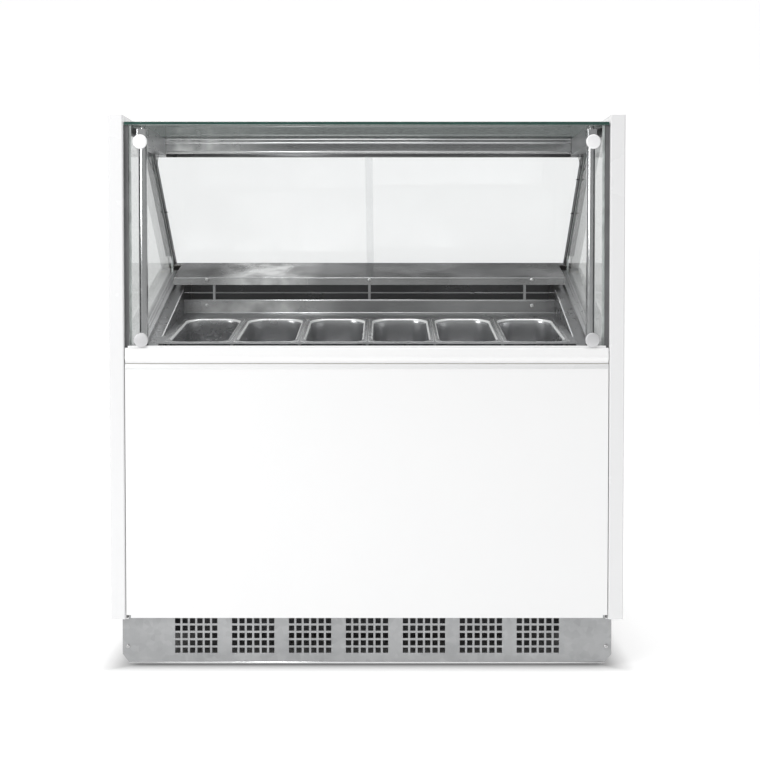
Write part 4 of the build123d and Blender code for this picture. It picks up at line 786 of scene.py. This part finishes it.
# ---- camera, studio ----
EYE_X = 0.048
EYE_DISTANCE = 3.2                     # from the front of the cabinet
EYE_HEIGHT = 0.964
LOOK_DOWN = 1.74                       # degrees

camera_data = bpy.data.cameras.new("camera")
camera = bpy.data.objects.new("camera", camera_data)
bpy.context.scene.collection.objects.link(camera)
bpy.context.scene.camera = camera
camera_data.lens = 62.6
camera_data.sensor_width = 36
camera_data.shift_x = -0.0086
camera_data.shift_y = -0.0855
camera.location = (EYE_X, FRONT - EYE_DISTANCE, EYE_HEIGHT)
camera.rotation_euler = (math.radians(90 - LOOK_DOWN), 0, 0)


def softbox(name, place, aim, size, power, mirrored=True):
    """Rectangular area light; mirrored says whether glossy surfaces show it."""
    data = bpy.data.lights.new(name, "AREA")
    data.shape = "RECTANGLE"
    data.size, data.size_y = size
    data.energy = power
    light = bpy.data.objects.new(name, data)
    light.location = place
    light.visible_glossy = mirrored
    light.rotation_euler = (Vector(aim) - Vector(place)).to_track_quat("-Z", "Y").to_euler()
    bpy.context.scene.collection.objects.link(light)


softbox("key", (-2.3, -2.6, 2.0), (0, -0.3, 0.7), (1.8, 1.8), 54)
softbox("overhead", (0, -0.2, 4.2), (0, 0, 0), (2.4, 1.6), 70)
softbox("fill", (2.4, -3.2, 1.3), (0.2, -0.4, 0.5), (1.6, 1.6), 12, mirrored=False)

world = bpy.data.worlds.new("studio")
bpy.context.scene.world = world
world.use_nodes = True
world.node_tree.nodes["Background"].inputs["Color"].default_value = (1, 1, 1, 1)
world.node_tree.nodes["Background"].inputs["Strength"].default_value = 0.40
bpy.context.scene.view_settings.view_transform = "Standard"

SWEEP_HALF = 9.0
SWEEP_NEAR = -7.0
SWEEP_FAR = 6.0
SWEEP_BEND = 1.6                       # radius between floor and wall
SWEEP_TOP = 7.0
SWEEP_STEPS = 12
PAPER_GLOW = 0.66                      # the paper glows evenly, except under the cabinet, where the missing glow is painted shadow


def sweep_backdrop():
    """Pale floor that curves up into a wall behind the object."""
    profile = [(SWEEP_NEAR, 0.0), (SWEEP_FAR - SWEEP_BEND, 0.0)]
    for step in range(1, SWEEP_STEPS + 1):
        angle = math.radians(90 * step / SWEEP_STEPS)
        profile.append((SWEEP_FAR - SWEEP_BEND + SWEEP_BEND * math.sin(angle),
                        SWEEP_BEND - SWEEP_BEND * math.cos(angle)))
    profile.append((SWEEP_FAR, SWEEP_TOP))
    mesh = bpy.data.meshes.new("backdrop")
    points = [(side * SWEEP_HALF, y, z) for y, z in profile for side in (-1, 1)]
    faces = [(2 * i, 2 * i + 1, 2 * i + 3, 2 * i + 2) for i in range(len(profile) - 1)]
    mesh.from_pydata(points, [], faces)
    for face in mesh.polygons:
        face.use_smooth = True
    sheet = bpy.data.objects.new("backdrop", mesh)
    bpy.context.scene.collection.objects.link(sheet)
    tree = Tree("backdrop_paper")
    shader = tree.shader((0.5, 0.5, 0.5), 0.9, Emission_Color=(1, 1, 1, 1))
    tree.drift(shader, (0.49, 0.49, 0.49), (0.51, 0.51, 0.51), scale=0.6, detail=2)
    # painted shadow: the glow fades out over the cabinet's footprint
    spot = tree.axes("Object")
    beside = tree.span(tree.size_of(spot["X"]), 0, 1, 0.56, 0.66)
    beyond = tree.span(tree.size_of(spot["Y"]), 0, 1, 0.34, 0.42)
    lit = tree.total(tree.total(beside, beyond, "MAXIMUM"), PAPER_GLOW, "MULTIPLY")
    tree.join(lit, shader.inputs["Emission Strength"])
    mesh.materials.append(tree.material)


sweep_backdrop()
